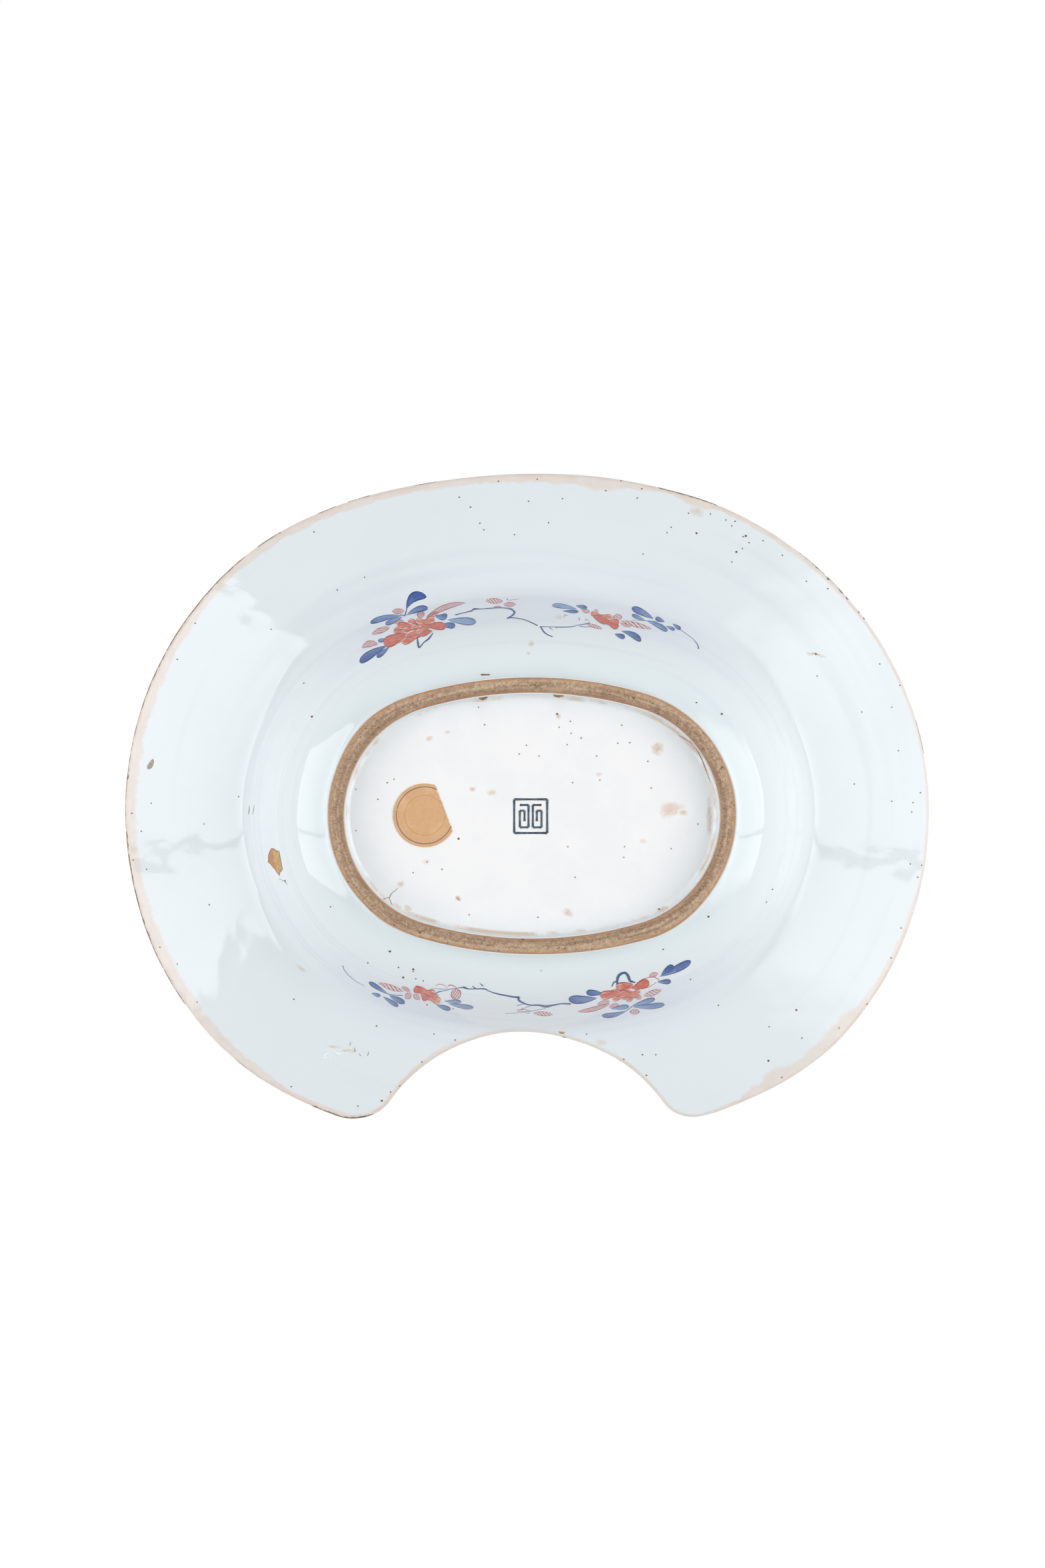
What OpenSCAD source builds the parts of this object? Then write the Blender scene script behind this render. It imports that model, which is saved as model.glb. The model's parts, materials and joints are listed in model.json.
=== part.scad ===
// Barber's bowl: a shallow oval porcelain basin with a broad sloping flange, a neck
// cut-out in one long side, and an oval foot ring pierced with two suspension holes.
// The bowl stands on its foot, long axis along X, with the neck cut-out towards -Y.
// Every ring of the bowl is the same four-arc oval at another offset, so a ring is
// named by the radius of its end arcs ("ring radius" below).

/* [Plan] */
// Length of the rim, tip to tip of the oval
rim_length = 275; // [255:1:295]
// Distance of each end arc's centre from the middle
end_centre = 25.2; // [22:0.1:28]
// Distance of each long side's arc centre from the middle
side_centre = 86.4; // [75:0.1:98]
// Length of the flat floor
floor_length = 124; // [116:1:128]

/* [Neck cut-out] */
// Radius of the cut-out that goes round the neck
neck_radius = 56; // [50:0.5:62]
// How far the cut-out reaches in from the rim
neck_depth = 41; // [34:0.5:46]
// Radius of the two rounded horns beside the cut-out
horn_radius = 17; // [10:0.5:20]

/* [Wall section] */
// Height of the floor's underside above the table
base_height = 7.6; // [6.5:0.1:9]
// Radius of the curve from floor to wall, on the underside
cavetto_radius = 26; // [20:0.5:32]
// Slope of the wall
wall_slope = 66; // [55:1:75]
// Length of the straight stretch of wall
wall_length = 19.3; // [14:0.1:25]
// Radius of the bend from wall to flange, on the underside
bend_radius = 9; // [5:0.5:12]
// Slope of the flange
flange_slope = 14; // [8:0.5:20]
// Thickness of the fired clay in floor and wall
body_thickness = 4.4; // [3.5:0.1:5]
// Thickness of the fired clay at the lip
lip_thickness = 3; // [2.2:0.1:3.6]

/* [Foot] */
// Length of the foot ring over its bare outer edge
foot_length = 134; // [126:0.5:140]
// Width of the bare tread that the bowl stands on
tread_width = 4.9; // [4:0.1:6]
// Thickness of the slip that lutes the foot ring to the basin
slip_thickness = 0.6; // [0.3:0.1:1]
// Radius of the fillets that the slip is wiped to
slip_fillet = 2.5; // [1.5:0.1:3]
// Diameter of the two suspension holes
hole_diameter = 2.8; // [2:0.1:3.4]
// Distance between the two suspension holes
hole_spacing = 24.8; // [18:0.1:32]
// How far the pair of holes sits off the bowl's middle
hole_offset = 4; // [0:0.5:6]
// Height of the holes above the table
hole_height = 3.4; // [3:0.1:3.8]

/* [Surface] */
// Thickness of the glaze
glaze_thickness = 0.4; // [0.2:0.05:0.6]
// Bare clay left below the glaze on both sides of the foot
bare_height = 1; // [0.6:0.1:1.4]
// Bare clay left round each suspension hole
bare_ring = 0.6; // [0.3:0.1:0.9]
// Thickness of the iron-brown dressing on the rim's edge
dressing_thickness = 0.4; // [0.2:0.05:0.6]

/* [Paper label] */
// Diameter of the label
label_diameter = 21; // [16:0.5:24]
// Thickness of the paper
label_thickness = 0.2; // [0.1:0.05:0.4]
// Distance of the label's centre from the bowl's middle
label_offset = 35.3; // [26:0.1:40]
// Width of the strip that is torn off the label
label_tear = 3.8; // [2:0.1:7]
// Slant of the torn edge
label_tear_slant = 21; // [0:1:25]

/* [Hidden] */
$fn = 96;

// Degrees between the points of a curved stretch of the wall section
curve_step = 8;
// How far a cutter or an oversize blank runs past what it has to clear
overrun = 5;
// How far a horn stands proud of the curve that just touches rim and cut-out, so that it crosses both
horn_proud = 0.05;
// How far a seam between two arcs runs on, in distances between the arcs' centres
seam_reach = 3;
// How far the core of an end arc laps over its seams
seam_lap = 1.5;
// Steps across the foot ring's top, which follows the basin's underside
seat_steps = 4;
// Directions of a path that climbs or drops upright
upward = 90;
downward = -90;

// Radius of the side arcs at ring radius 0, and how far that arc stands off the middle
side_span = norm([end_centre, side_centre]);
side_rise = side_span - side_centre;

// Ring radii of the rim, the floor's edge and the two walls of the foot
rim_ring = rim_length / 2 - end_centre;
floor_ring = floor_length / 2 - end_centre;
foot_outer_ring = foot_length / 2 - end_centre;
foot_inner_ring = foot_outer_ring - tread_width;
foot_middle_ring = foot_outer_ring - tread_width / 2;

// Neck circle, and the horn circle that touches it and the rim's end arc
neck_y = neck_depth - neck_radius - rim_ring - side_rise;
horn_from_end = rim_ring - horn_radius;
horn_from_neck = neck_radius + horn_radius;
end_to_neck = norm([end_centre, neck_y]);
horn_along = (pow(horn_from_end, 2) - pow(horn_from_neck, 2) + pow(end_to_neck, 2)) / (2 * end_to_neck);
horn_across = sqrt(pow(horn_from_end, 2) - pow(horn_along, 2));
horn_centre = [
    end_centre - horn_along * end_centre / end_to_neck - horn_across * neck_y / end_to_neck,
    horn_along * neck_y / end_to_neck - horn_across * end_centre / end_to_neck
];

// The bowl's box reaches from the horns to the far long side; its middle is the origin
back_y = rim_ring + side_rise;
front_y = horn_centre[1] - horn_radius - horn_proud;
centring = -(back_y + front_y) / 2;

// A section path is a list of [ring radius, height, slope, clay thickness], with the
// clay on the left of the path and the table on its right.
// Points of an arc that turns left or right from one slope to another, after a start point
function arc_left(from, radius, to_slope) =
    let (turn = to_slope - from[2], steps = ceil(abs(turn) / curve_step))
    [for (i = [1:steps]) let (s = from[2] + turn * i / steps) [
        from[0] + radius * (sin(s) - sin(from[2])),
        from[1] + radius * (cos(from[2]) - cos(s)),
        s, from[3]
    ]];
function arc_right(from, radius, to_slope) = arc_left(from, -radius, to_slope);
function straight(from, length, thickness) = [[
    from[0] + length * cos(from[2]), from[1] + length * sin(from[2]), from[2], thickness
]];
function last(path) = path[len(path) - 1];
function all_but_last(path) = [for (i = [0:len(path) - 2]) path[i]];

// The path shifted along its normal: towards the table for a positive distance
function shifted(path, distance) =
    [for (p = path) [p[0] + distance * sin(p[2]), p[1] - distance * cos(p[2])]];
// The other face of the clay, and what lies on that face
function clay_face(path, coat) =
    [for (p = path) [p[0] - (p[3] + coat) * sin(p[2]), p[1] + (p[3] + coat) * cos(p[2])]];
function reversed(points) = [for (i = [len(points) - 1:-1:0]) points[i]];
function between(one_side, other_side) = concat(one_side, reversed(other_side));
// The middle third of what lies between two sides
function core(one_side, other_side) = between(
    [for (i = [0:len(one_side) - 1]) (2 * one_side[i] + other_side[i]) / 3],
    [for (i = [0:len(one_side) - 1]) (one_side[i] + 2 * other_side[i]) / 3]
);

// The slip's outer fillet touches the foot's outer wall and the cavetto at this slope
fillet_ring = foot_outer_ring + slip_fillet;
fillet_slope = asin((fillet_ring - floor_ring) / (cavetto_radius + slip_fillet));
fillet_foot_height = base_height + cavetto_radius - (cavetto_radius + slip_fillet) * cos(fillet_slope);
fillet_start = [foot_outer_ring, fillet_foot_height, upward, body_thickness];
outer_fillet = concat([fillet_start], arc_right(fillet_start, slip_fillet, fillet_slope));

// The inner fillet touches the foot's inner wall, and at this slope the base or the cavetto beyond it
inner_fillet_ring = foot_inner_ring - slip_fillet;
inner_slope = asin(max(0, inner_fillet_ring - floor_ring) / (cavetto_radius + slip_fillet));

// Underside of the basin: floor, any cavetto inside the foot, the luted stretch, then the open wall
floor_edge = [floor_ring, base_height, 0, body_thickness];
base_cavetto = inner_slope > 0 ? arc_left(floor_edge, cavetto_radius, inner_slope) : [];
inner_underside = concat([floor_edge], base_cavetto);
luted_cavetto = arc_left(last(inner_underside), cavetto_radius, fillet_slope);
cavetto = arc_left(last(luted_cavetto), cavetto_radius, wall_slope);
wall = straight(last(cavetto), wall_length, body_thickness);
bend = arc_right(last(wall), bend_radius, flange_slope);
flange_run = (rim_ring + overrun - last(bend)[0]) / cos(flange_slope);
flange = straight(last(bend), flange_run, lip_thickness);
open_wall = concat(cavetto, wall, bend, flange);
base_middle = [[0, base_height, 0, body_thickness]];
wall_path = concat(base_middle, inner_underside, luted_cavetto, open_wall);
outside_path = concat([[foot_outer_ring, bare_height, upward, body_thickness]], outer_fillet, open_wall);

// Height that clears the whole bowl
clear_height = last(flange)[1] + body_thickness + overrun;

// The base, with the inner fillet that turns from it down the foot's inner wall
inner_start = inner_slope > 0 ? last(base_cavetto) : [inner_fillet_ring, base_height, 0, body_thickness];
inner_fillet = concat([inner_start], arc_right(inner_start, slip_fillet, downward));
base_path = concat(
    base_middle,
    inner_slope > 0 ? all_but_last(inner_underside) : [],
    inner_fillet,
    [[foot_inner_ring, bare_height, downward, body_thickness]]
);

// Top of the foot ring, from its inner to its outer wall, the slip's thickness under the basin
function seat_slope(ring) = asin(max(0, ring - floor_ring) / (cavetto_radius + slip_thickness));
function seat_height(ring) =
    base_height + cavetto_radius - (cavetto_radius + slip_thickness) * cos(seat_slope(ring));
foot_seat = [for (i = [0:seat_steps])
    let (ring = foot_inner_ring + tread_width * i / seat_steps) [ring, seat_height(ring)]];

// Where the suspension holes go through the middle of the foot's wall
hole_places = [for (side = [1, -1]) hole_offset + side * hole_spacing / 2];
function ring_y(ring, x) = sqrt(pow(ring + side_span, 2) - pow(x, 2)) - side_centre;

// Wedges of the plan that belong to one end arc or one side arc of the oval; their common
// edges run from a side arc's centre through the end arcs' centres to these points
seam_end = [end_centre, 0] + seam_reach * [end_centre, side_centre];
function end_wedge(side, lap = 0) = [
    [side * (end_centre - lap), 0], [side * seam_end[0], seam_end[1]], [side * 2 * rim_length, seam_end[1]],
    [side * 2 * rim_length, -seam_end[1]], [side * seam_end[0], -seam_end[1]]
];
function side_wedge(side) =
    [[0, -side * side_centre], [seam_end[0], side * seam_end[1]], [-seam_end[0], side * seam_end[1]]];

// Sweeps a section drawn in ring radius and height round the four-arc oval
module oval_sweep() {
    for (side = [1, -1]) {
        intersection() {
            translate([side * end_centre, 0, 0]) rotate_extrude() children();
            linear_extrude(clear_height) polygon(end_wedge(side));
        }
        intersection() {
            translate([0, -side * side_centre, 0])
                rotate_extrude() translate([side_span, 0]) children();
            linear_extrude(clear_height) polygon(side_wedge(side));
        }
    }
}

// Laps the seams of a swept section from inside with the section's core, so that its arcs are one piece
module seam_laps() {
    for (side = [1, -1])
        intersection() {
            translate([side * end_centre, 0, 0]) rotate_extrude() children();
            linear_extrude(clear_height) polygon(end_wedge(side, seam_lap));
        }
}

// Closes the middle of a floor, which lies inside ring radius 0
module floor_middle(height, thickness) {
    translate([0, 0, height])
        linear_extrude(thickness)
            polygon([[2 * end_centre, 0], [0, 2 * side_rise], [-2 * end_centre, 0], [0, -2 * side_rise]]);
}

// The four-arc oval as a flat shape
module oval(ring) {
    for (side = [1, -1]) {
        intersection() {
            translate([side * end_centre, 0]) circle(ring);
            polygon(end_wedge(side));
        }
        intersection() {
            translate([0, -side * side_centre]) circle(ring + side_span);
            polygon(side_wedge(side));
        }
    }
}

// The corner of the plan that one horn takes up, seen from the horn's centre
module horn_corner(side) {
    reach = 2 * horn_radius;
    to_rim = reach * (horn_centre - [end_centre, 0]) / horn_from_end;
    to_neck = reach * ([0, neck_y] - horn_centre) / horn_from_neck;
    corner = [[0, 0], to_rim, to_rim + to_neck, to_neck];
    polygon([for (p = corner) [side * (horn_centre[0] + p[0]), horn_centre[1] + p[1]]]);
}

// Outline of the bowl seen from above, set in from its edge
module plan(inset) {
    difference() {
        oval(rim_ring - inset);
        translate([0, neck_y]) circle(neck_radius + inset);
        for (side = [1, -1])
            difference() {
                horn_corner(side);
                translate([side * horn_centre[0], horn_centre[1]]) circle(horn_radius + horn_proud - inset);
            }
    }
}

// Trims a swept skin to the bowl's outline, inside the dressing on its edge
module trimmed() {
    intersection() {
        union() children();
        linear_extrude(clear_height) plan(dressing_thickness);
    }
}

module centred() {
    translate([0, centring, 0]) children();
}

// A hole through the foot's wall on the long side away from the neck
module suspension_holes(diameter) {
    for (x = hole_places)
        translate([x, ring_y(foot_middle_ring, x), hole_height])
            rotate([90, 0, 0])
                cylinder(d = diameter, h = 2 * tread_width, center = true);
}

// Moulded clay basin: floor, cavetto, flange and neck cut-out
module basin() {
    color("gainsboro") centred() trimmed() {
        oval_sweep() polygon(between(shifted(wall_path, 0), clay_face(wall_path, 0)));
        seam_laps() polygon(core(shifted(wall_path, 0), clay_face(wall_path, 0)));
        floor_middle(base_height, body_thickness);
    }
}

// Oval strip of clay that the bowl stands on
module foot_ring() {
    color("rosybrown") centred() difference() {
        oval_sweep() polygon(between([[foot_inner_ring, 0], [foot_outer_ring, 0]], foot_seat));
        suspension_holes(hole_diameter);
    }
}

// Slip between foot ring and basin, wiped to a fillet on both sides
module luting_slip() {
    color("tan") centred()
        oval_sweep() polygon(concat(
            foot_seat,
            shifted(all_but_last(outer_fillet), 0),
            reversed(shifted(concat([last(inner_underside)], luted_cavetto), 0)),
            shifted(inner_fillet, 0)
        ));
}

// Glaze on the outside of foot, wall and flange
module outside_glaze() {
    color("azure") centred() difference() {
        trimmed() oval_sweep()
            polygon(between(shifted(outside_path, glaze_thickness), shifted(outside_path, 0)));
        suspension_holes(hole_diameter + 2 * bare_ring);
    }
}

// Glaze in the well and on the flange's upper side
module inside_glaze() {
    color("white") centred() trimmed() {
        oval_sweep() polygon(between(clay_face(wall_path, 0), clay_face(wall_path, glaze_thickness)));
        floor_middle(base_height + body_thickness, glaze_thickness);
    }
}

// Glaze on the base inside the foot
module base_glaze() {
    color("aliceblue") centred() difference() {
        union() {
            oval_sweep() polygon(between(shifted(base_path, glaze_thickness), shifted(base_path, 0)));
            floor_middle(base_height - glaze_thickness, glaze_thickness);
        }
        suspension_holes(hole_diameter + 2 * bare_ring);
    }
}

// Iron-brown dressing on the edge of the rim, the horns and the neck cut-out
module rim_dressing() {
    color("saddlebrown") centred() intersection() {
        oval_sweep()
            polygon(between(shifted(wall_path, glaze_thickness), clay_face(wall_path, glaze_thickness)));
        linear_extrude(clear_height) difference() {
            plan(0);
            plan(dressing_thickness);
        }
    }
}

// Round paper label on the base, with a strip torn off towards the bowl's middle
module paper_label() {
    radius = label_diameter / 2;
    color("burlywood") centred()
        translate([label_offset, 0, base_height - glaze_thickness - label_thickness])
            linear_extrude(label_thickness) difference() {
                circle(radius);
                rotate(-label_tear_slant)
                    translate([label_tear - radius - label_diameter, -label_diameter])
                        square([label_diameter, 2 * label_diameter]);
            }
}

basin();
foot_ring();
luting_slip();
outside_glaze();
inside_glaze();
base_glaze();
rim_dressing();
paper_label();
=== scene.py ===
import json
import math

import bmesh
import bpy
from mathutils import Matrix, Vector, noise


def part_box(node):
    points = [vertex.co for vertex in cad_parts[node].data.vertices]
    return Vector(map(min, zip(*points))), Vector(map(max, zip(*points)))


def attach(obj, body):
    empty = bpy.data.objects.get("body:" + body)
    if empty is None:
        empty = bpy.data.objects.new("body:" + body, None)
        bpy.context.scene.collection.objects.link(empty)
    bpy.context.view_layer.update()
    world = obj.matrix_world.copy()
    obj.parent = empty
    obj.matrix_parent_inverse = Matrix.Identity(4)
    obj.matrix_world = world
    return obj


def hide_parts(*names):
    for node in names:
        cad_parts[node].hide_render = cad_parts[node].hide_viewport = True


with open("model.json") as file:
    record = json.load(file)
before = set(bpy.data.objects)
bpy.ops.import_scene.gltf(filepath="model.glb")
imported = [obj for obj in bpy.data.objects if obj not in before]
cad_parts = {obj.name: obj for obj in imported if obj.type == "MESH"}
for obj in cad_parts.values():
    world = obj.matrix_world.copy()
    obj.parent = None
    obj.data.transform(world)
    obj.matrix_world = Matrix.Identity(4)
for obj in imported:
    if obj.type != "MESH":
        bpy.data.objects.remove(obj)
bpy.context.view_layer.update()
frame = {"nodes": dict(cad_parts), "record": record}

# Luting slip
# The slip that joins the foot ring to the basin, wiped to a fillet on both sides of the foot and
# fired with it. The glaze covers it, so it stays as the solid that it is.
mm = 0.001


class Shade:
    """A socket of a material: sums of shades add Math nodes, and node() adds any other node."""

    def __init__(self, tree, socket):
        self.tree = tree
        self.socket = socket

    def node(self, kind, settings, values, output=0):
        made = self.tree.nodes.new(kind)
        for name, setting in settings.items():
            setattr(made, name, setting)
        for place, value in values.items():
            if isinstance(value, Shade):
                self.tree.links.new(value.socket, made.inputs[place])
            else:
                made.inputs[place].default_value = value
        if made.outputs:
            return Shade(self.tree, made.outputs[output])

    def math(self, operation, first, second):
        return self.node("ShaderNodeMath", {"operation": operation}, {0: first, 1: second})

    def __add__(self, other):
        return self.math("ADD", self, other)

    def __sub__(self, other):
        return self.math("SUBTRACT", self, other)

    def __rsub__(self, other):
        return self.math("SUBTRACT", other, self)

    def __mul__(self, other):
        return self.math("MULTIPLY", self, other)

    __radd__ = __add__
    __rmul__ = __mul__

    def most(self, other):
        return self.math("MAXIMUM", self, other)

    def between(self, low, high):
        """0 below low, 1 above high, and a smooth step from one to the other."""
        values = {"Value": self, "From Min": low, "From Max": high}
        return self.node("ShaderNodeMapRange", {"interpolation_type": "SMOOTHSTEP"}, values)

    def mix(self, low, high):
        """The colour low where this shade is 0, and high where it is 1."""
        return self.node("ShaderNodeMix", {"data_type": "RGBA"}, {0: self, 6: low, 7: high}, 2)

    def part(self, output):
        """Another output of the node that this shade comes from."""
        return Shade(self.tree, self.socket.node.outputs[output])

    def axis(self, number):
        """One coordinate of a place: 0, 1 or 2 for X, Y or Z."""
        return self.node("ShaderNodeSeparateXYZ", {}, {"Vector": self}, number)

    def magnitude(self):
        """The value without its sign."""
        return self.node("ShaderNodeMath", {"operation": "ABSOLUTE"}, {0: self})

    def own_map(self, name):
        """The place on one of the piece's own UV maps."""
        return self.node("ShaderNodeUVMap", {"uv_map": name}, {})

    def grain(self, scale, detail=3.0, roughness=0.55):
        """Cloudy noise from 0 to 1, with about `scale` clouds to the metre."""
        values = {"Vector": self, "Scale": scale, "Detail": detail, "Roughness": roughness}
        return self.node("ShaderNodeTexNoise", {"normalize": True}, values)

    def relief(self, height, depth):
        """The surface's direction when it rises by `depth` metres where height is 1."""
        return self.node("ShaderNodeBump", {}, {"Strength": 1.0, "Distance": depth, "Height": height})

    def fire(self, sockets):
        """Ends the material with one surface shader."""
        surface = self.node("ShaderNodeBsdfPrincipled", {}, sockets)
        self.node("ShaderNodeOutputMaterial", {}, {"Surface": surface})


def bare_tree(owner):
    """The emptied node tree of a material or of the world."""
    owner.use_nodes = True
    owner.node_tree.nodes.clear()
    return owner.node_tree


def new_finish(name):
    """A new material, and the place on the object that its patterns start from."""
    material = bpy.data.materials.new(name)
    tree = bare_tree(material)
    return material, Shade(tree, tree.nodes.new("ShaderNodeTexCoord").outputs["Object"])


def srgb(*levels):
    """A colour given as 0 to 255 screen levels."""
    shares = [level / 255 for level in levels]
    linear = [
        share / 12.92 if share <= 0.04045 else ((share + 0.055) / 1.055) ** 2.4 for share in shares
    ]
    return (*linear, 1.0)


clay, place = new_finish("fired_clay")
clay_grain = place.grain(900, 5)
clay_colour = clay_grain.mix(srgb(206, 196, 180), srgb(232, 226, 214))
place.fire({"Base Color": clay_colour, "Roughness": 0.8, "Normal": place.relief(clay_grain, 0.05 * mm)})
slip = frame["nodes"]["luting_slip"]
slip.data.materials.clear()
slip.data.materials.append(clay)

# Foot ring
# An oval strip of clay under the floor, pierced with two holes for a hanging cord. The bare tread
# was toasted brown in the kiln, and is worn, pitted and streaked along its length.
scene = bpy.context.scene
end_centre = 25.2 * mm
side_centre = 86.4 * mm
side_span = math.hypot(end_centre, side_centre)
seam_turn = math.atan2(side_centre, end_centre)
foot_low, foot_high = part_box("foot_ring")
oval_y = (foot_low.y + foot_high.y) / 2
oval_middle = Vector((0, oval_y))
foot_width = 4.9 * mm
foot_outer = foot_high.x - end_centre
foot_inner = foot_outer - foot_width
foot_edge_radius = 0.9 * mm
seat_drop = 0.47 * mm
swell_turns = (47, 241)
swell_height = 0.9 * mm
swell_reach = 0.35
hole_radius = 1.4 * mm
drill_length = 12 * mm
wear_height = 2 * mm
wear_depth = 0.08 * mm
wear_sway = 0.14
foot_columns = 440
tread_steps = 8
edge_steps = 5


def ring_place(turn, ring):
    """Plan point at a ring radius of the four-arc oval, where the oval faces the way turn says."""
    facing = Vector((math.cos(turn), math.sin(turn)))
    if abs(facing.y) * end_centre < abs(facing.x) * side_centre:
        start = Vector((math.copysign(end_centre, facing.x), 0))
    else:
        start = facing * side_span - Vector((0, math.copysign(side_centre, facing.y)))
    return start + facing * ring + oval_middle


def oval_length(ring):
    """Length once round the oval at a ring radius."""
    return 2 * math.pi * ring + 4 * (math.pi / 2 - seam_turn) * side_span


def find_arc(runs, left):
    """The arc that a length along a row of arcs ends in, and how far into it."""
    arc = 0
    while arc < len(runs) - 1 and left > runs[arc]:
        left -= runs[arc]
        arc += 1
    return arc, left


def even_turns(ring, count):
    """Facing directions of evenly spaced points round the oval at a ring radius."""
    corners = [0, seam_turn, math.pi - seam_turn]
    corners += [math.pi + seam_turn, 2 * math.pi - seam_turn, 2 * math.pi]
    radii = [ring, ring + side_span, ring, ring + side_span, ring]
    runs = [(last - first) * radius for first, last, radius in zip(corners, corners[1:], radii)]
    turns = []
    for step in range(count + 1):
        arc, left = find_arc(runs, sum(runs) * step / count)
        turns.append(corners[arc] + left / radii[arc])
    return turns


def skin(columns, rows, spot, mark):
    """A sheet of quads whose corners lie at spot(column, row), with mark(column, row) as its UV map."""
    sheet = bmesh.new()
    layer = sheet.loops.layers.uv.new("skin")
    bmesh.ops.create_grid(sheet, x_segments=columns, y_segments=rows, size=0.5, calc_uvs=True)
    for face in sheet.faces:
        for loop in face.loops:
            u, v = loop[layer].uv
            loop[layer].uv = mark(round(u * columns), round(v * rows))
    for corner in sheet.verts:
        corner.co = spot(round((corner.co.x + 0.5) * columns), round((corner.co.y + 0.5) * rows))
    bmesh.ops.remove_doubles(sheet, verts=sheet.verts, dist=0.001 * mm)
    return sheet


def add_piece(name, sheet, material):
    """Makes a finished object of a sheet; it rides with the bowl."""
    mesh = bpy.data.meshes.new(name)
    sheet.to_mesh(mesh)
    sheet.free()
    mesh.shade_smooth()
    mesh.materials.append(material)
    piece = bpy.data.objects.new(name, mesh)
    scene.collection.objects.link(piece)
    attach(piece, "root")
    return piece


def settle(piece):
    """Turns a piece's modifiers into its mesh, and keeps its corners sharp."""
    settled = bpy.data.meshes.new_from_object(piece.evaluated_get(bpy.context.evaluated_depsgraph_get()))
    settled.set_sharp_from_angle(angle=math.radians(40))
    piece.modifiers.clear()
    piece.data = settled


def thicken(piece, thickness):
    """Gives a sheet its thickness, on the side away from its face."""
    coat = piece.modifiers.new("thickness", "SOLIDIFY")
    coat.thickness = thickness
    coat.offset = -1
    settle(piece)


def pierce(piece, radius):
    """Cuts the two suspension holes, as wide as asked, and leaves a plain mesh."""
    drill = bmesh.new()
    for mount in frame["record"]["mounts"]:
        if mount["kind"] == "bore":
            turn = Matrix.Translation(mount["pos_m"]) @ Matrix.Rotation(math.pi / 2, 4, "X")
            bmesh.ops.create_cone(
                drill, cap_ends=True, segments=40, radius1=radius, radius2=radius, depth=drill_length,
                matrix=turn,
            )
    bit = bpy.data.objects.new("drill", bpy.data.meshes.new("drill"))
    drill.to_mesh(bit.data)
    drill.free()
    scene.collection.objects.link(bit)
    cut = piece.modifiers.new("holes", "BOOLEAN")
    cut.object = bit
    cut.operation = "DIFFERENCE"
    cut.solver = "EXACT"
    settle(piece)
    bpy.data.objects.remove(bit)


def corner_arc(ring, height, start, end):
    """Points of a rounded edge about a middle, from one direction to another in degrees."""
    points = []
    for step in range(edge_steps + 1):
        angle = math.radians(start + (end - start) * step / edge_steps)
        across = foot_edge_radius * math.cos(angle)
        points.append((ring + across, height + foot_edge_radius * math.sin(angle)))
    return points


# Once round the strip's section, by ring radius and height
seat_inner = (foot_inner, foot_high.z - seat_drop)
foot_profile = [seat_inner, (foot_inner, foot_high.z / 2)]
foot_profile += corner_arc(foot_inner + foot_edge_radius, foot_edge_radius, 180, 270)
flat_start = foot_inner + foot_edge_radius
flat_width = foot_outer - foot_inner - 2 * foot_edge_radius
foot_profile += [(flat_start + flat_width * step / tread_steps, 0) for step in range(1, tread_steps)]
foot_profile += corner_arc(foot_outer - foot_edge_radius, foot_edge_radius, 270, 360)
foot_profile += [(foot_outer, foot_high.z / 2), (foot_outer, foot_high.z), seat_inner]
foot_turns = even_turns(foot_outer, foot_columns)
foot_length = oval_length(foot_outer)


def foot_stray(turn):
    """How far the hand-laid strip swells past the true oval, mostly at two of its corners."""
    stray = 0.3 * mm * max(0.0, noise.noise(Vector((math.cos(turn), math.sin(turn), 0)) * 2))
    for facing in swell_turns:
        off = math.remainder(turn - math.radians(facing), 2 * math.pi)
        stray += swell_height * math.exp(-((off / swell_reach) ** 2))
    return stray


def foot_spot(column, row):
    ring, height = foot_profile[row]
    ring += foot_stray(foot_turns[column]) * (ring - foot_inner) / (foot_outer - foot_inner)
    spot = ring_place(foot_turns[column], ring).to_3d()
    worn = noise.noise(spot * 160) + 0.5 * noise.noise(spot * 420)
    low = max(0.0, 1 - height / wear_height)
    across = ring_place(foot_turns[column], ring + mm).to_3d() - spot
    spot += across * wear_sway * worn * low
    spot.z = height + wear_depth * low * max(0.0, worn)
    return spot


def foot_mark(column, row):
    return foot_length * column / foot_columns, foot_profile[row][0]


toasted, place = new_finish("toasted_clay")
along = place.own_map("skin")
streak_place = place.node("ShaderNodeMapping", {}, {"Vector": along, "Scale": (45.0, 900.0, 1.0)})
streaks = place.node("ShaderNodeTexNoise", {}, {"Vector": streak_place, "Scale": 1.0, "Detail": 4.0})
mottle = place.grain(620, 6, 0.75)
sand = place.grain(1900, 3, 0.8)
grit = place.grain(2200, 2, 0.6).between(0.4, 0.3)
pits = place.grain(520, 3, 0.7).between(0.37, 0.29)
brown = mottle.between(0.36, 0.64).mix(srgb(146, 116, 91), srgb(202, 174, 147))
brown = (streaks.between(0.54, 0.36) * 0.65).mix(brown, srgb(134, 104, 80))
brown = (streaks.between(0.52, 0.7) * 0.5).mix(brown, srgb(212, 188, 162))
brown = (sand.between(0.52, 0.66) * 0.7).mix(brown, srgb(228, 210, 190))
across = along.axis(1)
outward = (across - foot_inner) * (1 / (foot_outer - foot_inner))
# Painted light and shade: the inner half of the tread is darkened and the outer half lightened, as a
# rounded tread would be lit
brown = (outward.between(0.6, 0.1) * 0.4).mix(brown, srgb(132, 102, 78))
brown = (outward.between(0.55, 0.95) * 0.5).mix(brown, srgb(200, 162, 128))
inner_edge = (across - foot_inner).between(0.8 * mm, 0.1 * mm)
outer_edge = (foot_outer - across).between(0.8 * mm, 0.1 * mm)
brown = (inner_edge.most(outer_edge) * 0.7).mix(brown, srgb(188, 134, 94))
brown = (grit * 0.55).mix(brown, srgb(116, 90, 68))
brown = (pits * 0.85).mix(brown, srgb(86, 66, 50))
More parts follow.
